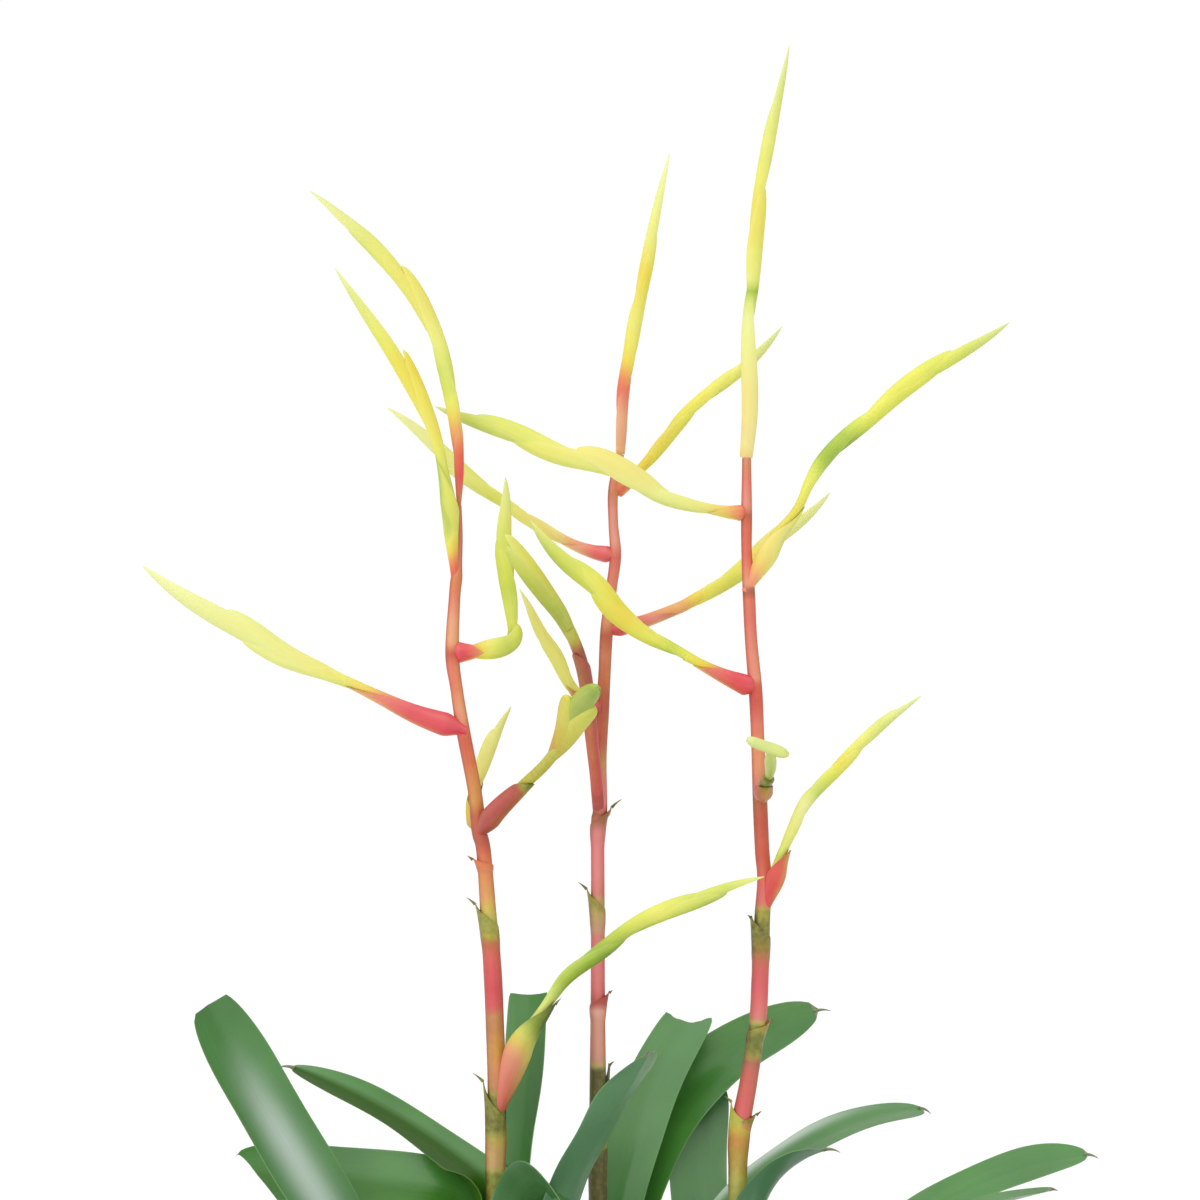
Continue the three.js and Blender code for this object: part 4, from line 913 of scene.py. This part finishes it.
class Graph:
    """Short ways to add and link nodes in one node tree."""

    def __init__(self, tree):
        """Work on this node tree."""
        self.tree = tree

    def node(self, kind, inputs=None, **settings):
        """A new node with these inputs, by name or number, and these settings."""
        made = self.tree.nodes.new(kind)
        for key, value in settings.items():
            setattr(made, key, value)
        for key, value in (inputs or {}).items():
            self.feed(made.inputs[key], value)
        return made

    def feed(self, socket, value):
        """Give a socket a fixed value, or link another node's output to it."""
        if isinstance(value, bpy.types.NodeSocket):
            self.tree.links.new(value, socket)
        else:
            socket.default_value = value

    def math(self, operation, *values, clamp=False):
        """One arithmetic step on these values."""
        made = self.node("ShaderNodeMath", operation=operation, use_clamp=clamp)
        for socket, value in zip(made.inputs, values):
            self.feed(socket, value)
        return made.outputs[0]

    def mix(self, share, first, second):
        """The first colour at share 0, the second at share 1, and evenly between."""
        made = self.node("ShaderNodeMix", data_type="RGBA")
        for socket, value in zip((made.inputs[0], made.inputs[6], made.inputs[7]),
                                 (share, first, second)):
            self.feed(socket, value)
        return made.outputs[2]

    def ramp(self, share, stops):
        """The colour at a share, read between stops of place and colour."""
        made = self.node("ShaderNodeValToRGB", {"Fac": share})
        elements = made.color_ramp.elements
        while len(elements) < len(stops):
            elements.new(0.5)
        for element, (place, colour) in zip(elements, stops):
            element.position = place
            element.color = colour
        return made.outputs["Color"]

    def attribute(self, name):
        """A value that the mesh carries at each point."""
        return self.node("ShaderNodeAttribute", attribute_name=name).outputs["Fac"]

    def span(self, value, low, high, to_low=0.0, to_high=1.0):
        """The value's range from low to high, stretched evenly over another and cut off there."""
        return self.node("ShaderNodeMapRange", {
            "Value": value, "From Min": low, "From Max": high, "To Min": to_low,
            "To Max": to_high,
        }).outputs["Result"]

    def scaled(self, value, factor, plus, clamp=False):
        """The value times the factor, plus a further value."""
        return self.math("MULTIPLY_ADD", value, factor, plus, clamp=clamp)

    def tinted(self, colour, mask, strength, tint, clamp=False):
        """The colour, mixed towards the tint by mask times strength."""
        return self.mix(self.math("MULTIPLY", mask, strength, clamp=clamp), colour, tint)

    def bumped(self, shader, height, strength, distance):
        """Tilt the shader's normal by the slope of a height."""
        bump = self.node("ShaderNodeBump", {
            "Strength": strength, "Distance": distance, "Height": height})
        self.feed(shader.inputs["Normal"], bump.outputs["Normal"])


def new_group(name, inputs, outputs):
    """A shader node group with named float inputs and typed outputs."""
    group = bpy.data.node_groups.new(name, "ShaderNodeTree")
    for title, value in inputs.items():
        socket = group.interface.new_socket(title, in_out="INPUT", socket_type="NodeSocketFloat")
        socket.default_value = value
    for title, kind in outputs.items():
        group.interface.new_socket(title, in_out="OUTPUT", socket_type=kind)
    graph = Graph(group)
    entry = graph.node("NodeGroupInput")
    leave = graph.node("NodeGroupOutput")
    return group, graph, entry, leave


def veins_group():
    """Fine uneven lines along a blade: a noise, drawn out along it and packed across it."""
    group, graph, entry, leave = new_group(
        "fine_veins", {"Across": 0.0, "Along": 0.0, "Count": 20.0, "Stretch": 4.0},
        {"Mask": "NodeSocketFloat"})
    place = graph.node("ShaderNodeCombineXYZ", {
        "X": graph.math("MULTIPLY", entry.outputs["Across"], entry.outputs["Count"]),
        "Y": graph.math("MULTIPLY", entry.outputs["Along"], entry.outputs["Stretch"]),
    }).outputs[0]
    noise = graph.node("ShaderNodeTexNoise", {"Vector": place, "Scale": 1.0, "Detail": 3.0})
    graph.feed(leave.inputs["Mask"], graph.span(noise.outputs["Fac"], 0.32, 0.68))
    return group


def mottle_group():
    """Soft blotches in the part's own space: a noise, spread between two levels."""
    group, graph, entry, leave = new_group(
        "soft_mottle", {"Scale": 60.0, "Detail": 4.0, "Low": 0.35, "High": 0.65},
        {"Mask": "NodeSocketFloat"})
    place = graph.node("ShaderNodeTexCoord").outputs["Object"]
    noise = graph.node("ShaderNodeTexNoise", {
        "Vector": place, "Scale": entry.outputs["Scale"], "Detail": entry.outputs["Detail"],
    })
    spread = graph.span(noise.outputs["Fac"], entry.outputs["Low"], entry.outputs["High"])
    graph.feed(leave.inputs["Mask"], spread)
    return group


RIPENESS = [
    (0.0, paint(224, 60, 78)), (0.14, paint(226, 104, 74)), (0.28, paint(232, 156, 82)),
    (0.42, paint(232, 206, 60)), (0.56, paint(228, 226, 86)), (0.7, paint(202, 214, 76)),
    (0.85, paint(156, 184, 52)), (1.0, paint(104, 146, 48)),
]
BRONZE, PALE_RED, PALE_GREEN = paint(92, 84, 40), paint(247, 210, 200), paint(238, 242, 184)


def ripeness_group():
    """The colour of a bract or stalk from how ripe, bronzed and pale it is."""
    group, graph, entry, leave = new_group(
        "ripeness_colour", {"Ripe": 0.5, "Bronze": 0.0, "Pale": 0.0, "Green paleness": 1.0},
        {"Color": "NodeSocketColor"})
    base = graph.ramp(entry.outputs["Ripe"], RIPENESS)
    bronzed = graph.tinted(base, entry.outputs["Bronze"], 0.9, BRONZE, clamp=True)
    paleness = graph.mix(entry.outputs["Green paleness"], PALE_RED, PALE_GREEN)
    pale = graph.tinted(bronzed, entry.outputs["Pale"], 0.85, paleness, clamp=True)
    graph.feed(leave.inputs["Color"], pale)
    return group


VEINS = veins_group()
MOTTLE = mottle_group()
RIPENESS_COLOUR = ripeness_group()


def new_material(name):
    """An empty material with its graph and its Principled shader."""
    material = bpy.data.materials.new(name)
    material.use_nodes = True
    graph = Graph(material.node_tree)
    return material, graph, material.node_tree.nodes["Principled BSDF"]


def grouped(graph, group, **inputs):
    """The first output of a node group placed with these inputs."""
    node = graph.tree.nodes.new("ShaderNodeGroup")
    node.node_tree = group
    for key, value in inputs.items():
        graph.feed(node.inputs[key], value)
    return node.outputs[0]


# The darker olive colour is painted shade and the near-white green a painted highlight; the rest are the
# leaf's own colours.
LEAF_PAINT = {key: paint(*colour) for key, colour in {
    "upper": (48, 110, 28), "upper_light": (68, 132, 46), "upper_line": (84, 142, 72),
    "lower": (54, 110, 62), "lower_light": (80, 134, 82), "lower_line": (110, 152, 116),
    "painted_shade": (52, 92, 18), "bloom": (132, 168, 138), "streak": (198, 214, 202),
    "edge": (140, 172, 110), "foot": (176, 190, 120),
}.items()}
WITHERED = [(0.0, paint(96, 128, 72)), (0.4, paint(120, 132, 96)), (0.75, paint(134, 124, 104)),
            (1.0, paint(92, 78, 62))]


def leaf_material():
    """Glossy green strap leaf: faintly lined lengthwise, bluer below, pale at the foot, lighter
    at the margin, grey to brown where the end has dried. A paler stripe is painted on as a
    highlight, and one side of some leaves is painted darker as shade."""
    material, graph, shader = new_material("strap_leaf")
    across, along = graph.attribute("across"), graph.attribute("along")
    under, dry = graph.attribute("under"), graph.attribute("dry")
    lines = grouped(graph, VEINS, Across=across, Along=along, Count=9.0, Stretch=3.0)
    broad = grouped(graph, MOTTLE, Scale=22.0, Detail=2.0, Low=0.3, High=0.7)
    fine = grouped(graph, MOTTLE, Scale=240.0, Detail=5.0, Low=0.3, High=0.7)
    upper = graph.mix(broad, LEAF_PAINT["upper"], LEAF_PAINT["upper_light"])
    upper = graph.tinted(upper, lines, 0.12, LEAF_PAINT["upper_line"])
    lower = graph.mix(broad, LEAF_PAINT["lower"], LEAF_PAINT["lower_light"])
    lower = graph.tinted(lower, lines, 0.14, LEAF_PAINT["lower_line"])
    green = graph.mix(under, upper, lower)
    # On a leaf the bronze attribute carries the painted shade: that side is mixed to a dark olive, with
    # less specular and coat.
    painted_shade = graph.attribute("bronze")
    green = graph.mix(painted_shade, green, LEAF_PAINT["painted_shade"])
    green = graph.tinted(green, graph.attribute("pale"), 0.75, LEAF_PAINT["bloom"])
    # The paler stripe is a painted highlight, mixed towards a near-white green.
    green = graph.mix(graph.attribute("streak"), green, LEAF_PAINT["streak"])
    edge = graph.span(graph.math("ABSOLUTE", across), 0.95, 1.0)
    green = graph.tinted(green, edge, 0.3, LEAF_PAINT["edge"])
    foot = graph.span(along, 0.0, 0.22, 1.0, 0.0)
    green = graph.tinted(green, foot, 0.75, LEAF_PAINT["foot"])
    wither = graph.math("ADD", dry, graph.scaled(fine, 0.2, -0.1), clamp=True)
    withered = graph.ramp(wither, WITHERED)
    colour = graph.mix(graph.span(wither, 0.08, 0.3), green, withered)
    graph.feed(shader.inputs["Base Color"], colour)
    rough = graph.scaled(fine, 0.06, 0.3)
    rough = graph.scaled(under, 0.08, rough)
    rough = graph.scaled(wither, 0.35, rough, clamp=True)
    graph.feed(shader.inputs["Roughness"], rough)
    graph.feed(shader.inputs["IOR"], 1.48)
    graph.feed(shader.inputs["Specular IOR Level"], graph.scaled(painted_shade, -0.45, 0.5))
    graph.feed(shader.inputs["Coat Weight"], graph.scaled(painted_shade, -0.25, 0.25))
    graph.feed(shader.inputs["Coat Roughness"], 0.2)
    graph.bumped(shader, graph.scaled(fine, 0.25, lines), 0.12, 0.0003)
    return material


def bract_material(name, vein_count, roughness, green_paleness):
    """A waxy bract or stalk: the ripeness colour, softly mottled and lined lengthwise."""
    material, graph, shader = new_material(name)
    across, along = graph.attribute("across"), graph.attribute("along")
    lines = grouped(graph, VEINS, Across=across, Along=along, Count=vein_count, Stretch=1.6)
    broad = grouped(graph, MOTTLE, Scale=70.0, Detail=3.0, Low=0.3, High=0.7)
    fine = grouped(graph, MOTTLE, Scale=420.0, Detail=4.0, Low=0.3, High=0.7)
    shift = graph.scaled(lines, 0.05, graph.scaled(broad, 0.06, -0.03))
    ripe = graph.math("ADD", graph.attribute("ripe"), graph.math("SUBTRACT", shift, 0.025))
    bronze = graph.attribute("bronze")
    bronze = graph.math("MULTIPLY", bronze, graph.scaled(fine, 0.3, 0.85))
    colour = grouped(graph, RIPENESS_COLOUR, Ripe=ripe, Bronze=bronze,
                     Pale=graph.attribute("pale"), **{"Green paleness": green_paleness})
    graph.feed(shader.inputs["Base Color"], colour)
    graph.feed(shader.inputs["Roughness"], graph.scaled(fine, 0.1, roughness))
    graph.feed(shader.inputs["Coat Weight"], 0.05)
    graph.feed(shader.inputs["Coat Roughness"], 0.3)
    graph.bumped(shader, graph.scaled(fine, 0.3, lines), 0.1, 0.0002)
    return material


def stock_material():
    """Woody rootstock: brown fibres, dark in the hollows."""
    material, graph, shader = new_material("rootstock_bark")
    fibre = grouped(graph, VEINS, Across=graph.attribute("across"),
                    Along=graph.attribute("along"), Count=30.0, Stretch=6.0)
    broad = grouped(graph, MOTTLE, Scale=90.0, Detail=6.0, Low=0.3, High=0.7)
    colour = graph.mix(broad, paint(70, 50, 32), paint(132, 100, 66))
    colour = graph.tinted(colour, fibre, 0.5, paint(168, 140, 98))
    colour = graph.mix(graph.attribute("pale"), colour, paint(196, 182, 128))
    graph.feed(shader.inputs["Base Color"], colour)
    graph.feed(shader.inputs["Roughness"], graph.scaled(broad, 0.15, 0.72))
    graph.bumped(shader, graph.scaled(broad, 0.8, fibre), 0.7, 0.001)
    return material


LEAF_GREEN = leaf_material()
SPIKE_WAX = bract_material("flower_bract", 8.0, 0.4, 1.0)
STALK_WAX = bract_material("red_stalk", 7.0, 0.38, 0.0)
BARK = stock_material()


# ---------------------------------------------------------------- rootstock

def stock_skins(x, y, seed):
    """A stock: rings up its profile, scarred by shallow steps where old leaves stood and
    knobbed by two sines, with wiry roots pressed against its foot."""
    draw = np.random.default_rng(seed)
    height = np.linspace(0, STOCK["top_height"], STOCK["rows"])[:, None]
    angle = around(STOCK["sides"])
    radius = np.interp(height, [0, STOCK["waist_height"], STOCK["top_height"]],
                       [STOCK["foot"], STOCK["waist"], STOCK["top"]])
    rise = height / STOCK["scar_rise"] + 0.3 * np.sin(2 * angle + height / 9)
    knobs = STOCK["knob"] * np.sin(13 * angle + 0.7 * height) * np.sin(height / 2.1)
    reach = radius - STOCK["scar"] * (1 - rise % 1) - np.abs(knobs)
    rings = np.stack([x + reach * np.cos(angle), y + reach * np.sin(angle),
                      np.broadcast_to(height, reach.shape)], axis=-1)
    skins = [skin(rings, along=height / 60, across=angle / math.pi - 1,
                  pale=0.5 * smooth(height, 45, 66))]
    for heading in draw.uniform(0, 360, STOCK["roots"]):
        skins.append(root_skin(x, y, heading, draw))
    return skins


def root_skin(x, y, heading, draw):
    """A wiry root that wanders down the stock's side: its heading drifts by a sine and it
    lies just proud of the bark."""
    t = np.linspace(0, 1, ROOT["rows"])
    top, low, drift = (draw.uniform(*ROOT[key]) for key in ("top", "low", "drift"))
    way = np.radians(heading + drift * t + 7 * np.sin(5 * t + draw.uniform(0, 6)))
    out = np.stack([np.cos(way), np.sin(way), 0 * way], axis=-1)
    waver = np.sin(3 * t + draw.uniform(0, 3)) ** 2
    reach = STOCK["foot"] + ROOT["proud"] + 0.5 * waver
    centre = np.stack([x + reach * np.cos(way), y + reach * np.sin(way), top + (low - top) * t],
                      axis=-1)
    along = unit(np.gradient(centre, axis=0))
    side = clear_of(out, along)
    width = draw.uniform(*ROOT["width"]) * (1 - 0.5 * t)
    rings = oval(centre, side, np.cross(along, side), width, width, ROOT["sides"])
    return skin(rings, along=t[:, None], across=0.2)


def rhizome_skin(start, end):
    """The bar that joins two stocks: an oval ring flattened where it meets the ground, with
    shallow joints along it."""
    t = np.linspace(0, 1, RHIZOME["rows"])
    a, b = np.array([*start, 0.0]), np.array([*end, 0.0])
    origin = a + (b - a) * t[:, None]
    along = np.broadcast_to(unit(b - a), origin.shape)
    side = clear_of(np.cross(along, FORWARD), along)
    joints = RHIZOME["radius"] * (0.95 + 0.04 * np.cos(2 * math.pi * t * RHIZOME["joints"]))
    rings = oval(origin, side, np.cross(along, side), joints, joints, RHIZOME["sides"])
    rings[..., 2] = np.maximum(rings[..., 2] + RHIZOME["height"], 0)
    return skin(rings, along=t[:, None] * 2, across=np.linspace(-1, 1, RHIZOME["sides"]))


# ---------------------------------------------------------------- the plant

def build_rosette(name, seed):
    """One rosette's stalk, clasping bracts, spikes and leaves."""
    make_piece(f"red_stalk_{name}", [stalk_skin(name)], STALK_WAX, f"stalk_{name}")
    sleeves = []
    for bract in STALK_BRACTS[name]:
        sleeves += stalk_bract_skins(name, *bract)
    make_piece(f"stalk_bracts_{name}", sleeves, STALK_WAX, f"stalk_{name}")
    boats = []
    for key, spike in SPIKES.items():
        if not key.startswith(name):
            continue
        make_piece(f"flower_spike_{key}", spike_skins(spike), SPIKE_WAX, f"spike_{key}")
        if "sheath" in spike:
            boats += sheath_skins(line_through(spike["path"]), spike["sheath"],
                                  spike["sheath_tones"], spike["tones"], spike.get("fan"))
    make_piece(f"branch_bracts_{name}", boats, STALK_WAX, f"stalk_{name}")
    for order, leaf in enumerate(LEAVES[name]):
        key = f"{name}_{order + 1}"
        end = {**PLAIN_END, **LEAF_ENDS.get(key, {})}
        skins = leaf_skins(leaf, order, ROSETTES[name], end, seed + order)
        make_piece(f"strap_leaf_{key}", skins, LEAF_GREEN, f"leaf_{key}")


def build_rootstock():
    """The three stocks, their roots and the rhizomes between them."""
    skins = []
    for seed, (x, y) in enumerate(ROSETTES.values()):
        skins += stock_skins(x, y, seed)
    skins.append(rhizome_skin(ROSETTES["left"], ROSETTES["middle"]))
    skins.append(rhizome_skin(ROSETTES["middle"], ROSETTES["right"]))
    make_piece("woody_rootstock", skins, BARK, "rootstock")


# ---------------------------------------------------------------- studio

CAMERA = {"place": (0, -2.415, 0.396), "lens": 160, "sensor": 36, "reach": 40}
FLOOR_HALF = 9.0
GLOSS_LIGHT = {"place": (0.5, -1.5, 1.9), "aim": (0, -0.02, 0.3), "energy": 2.5, "size": 1.5}
SKY_LIGHT = {"around": 0.3, "overhead": 0.85, "seen": 1.02}
SOFTBOX = {"way": (-0.52, -0.62, 0.59), "tightness": 6.0, "strength": 1.5}


def build_floor():
    """A plain pale floor."""
    material, graph, shader = new_material("studio_floor")
    grain = grouped(graph, MOTTLE, Scale=3.0, Detail=2.0, Low=0.2, High=0.8)
    graph.feed(shader.inputs["Base Color"],
               graph.mix(grain, paint(250, 250, 250), paint(252, 252, 252)))
    graph.feed(shader.inputs["Roughness"], 0.9)
    mesh = bpy.data.meshes.new("studio_floor")
    half = FLOOR_HALF
    mesh.from_pydata([(-half, -half, 0), (half, -half, 0), (half, half, 0), (-half, half, 0)], [],
                     [(0, 1, 2, 3)])
    mesh.materials.append(material)
    floor = placed("studio_floor", mesh)


def build_world():
    """A white surround: dim at the horizon, brighter overhead, brightest high on the left in
    front, and seen as plain white."""
    world = bpy.data.worlds.new("studio_world")
    world.use_nodes = True
    graph = Graph(world.node_tree)
    background = world.node_tree.nodes["Background"]
    graph.feed(background.inputs["Color"], (1, 1, 1, 1))
    way = graph.node("ShaderNodeTexCoord").outputs["Generated"]
    overhead = graph.node("ShaderNodeSeparateXYZ", {"Vector": way}).outputs["Z"]
    overhead = graph.math("MAXIMUM", overhead, 0.0)
    window = graph.node("ShaderNodeVectorMath", {0: way, 1: SOFTBOX["way"]},
                        operation="DOT_PRODUCT")
    lobe = graph.math("POWER", graph.math("MAXIMUM", window.outputs["Value"], 0.0),
                      SOFTBOX["tightness"])
    light = graph.scaled(overhead, SKY_LIGHT["overhead"], SKY_LIGHT["around"])
    light = graph.scaled(lobe, SOFTBOX["strength"], light)
    seen = graph.node("ShaderNodeLightPath").outputs["Is Camera Ray"]
    light = graph.math("ADD", graph.math("MULTIPLY", light, graph.math("SUBTRACT", 1.0, seen)),
                       graph.math("MULTIPLY", seen, SKY_LIGHT["seen"]))
    graph.feed(background.inputs["Strength"], light)
    bpy.context.scene.world = world


def build_studio():
    """One soft light, the camera and the view."""
    data = bpy.data.lights.new("gloss_light", "AREA")
    data.energy, data.size = GLOSS_LIGHT["energy"], GLOSS_LIGHT["size"]
    light = placed("gloss_light", data)
    light.location = GLOSS_LIGHT["place"]
    away = Vector(GLOSS_LIGHT["place"]) - Vector(GLOSS_LIGHT["aim"])
    light.rotation_euler = away.to_track_quat("Z", "Y").to_euler()
    data = bpy.data.cameras.new("camera")
    data.lens, data.sensor_width = CAMERA["lens"], CAMERA["sensor"]
    data.clip_end = CAMERA["reach"]
    camera = placed("camera", data)
    camera.location = CAMERA["place"]
    camera.rotation_euler = (math.pi / 2, 0, 0)
    bpy.context.scene.camera = camera
    bpy.context.scene.view_settings.view_transform = "Standard"


build_world()
build_studio()
build_floor()
build_rootstock()
for number, rosette in enumerate(ROSETTES):
    build_rosette(rosette, 100 * (number + 1))
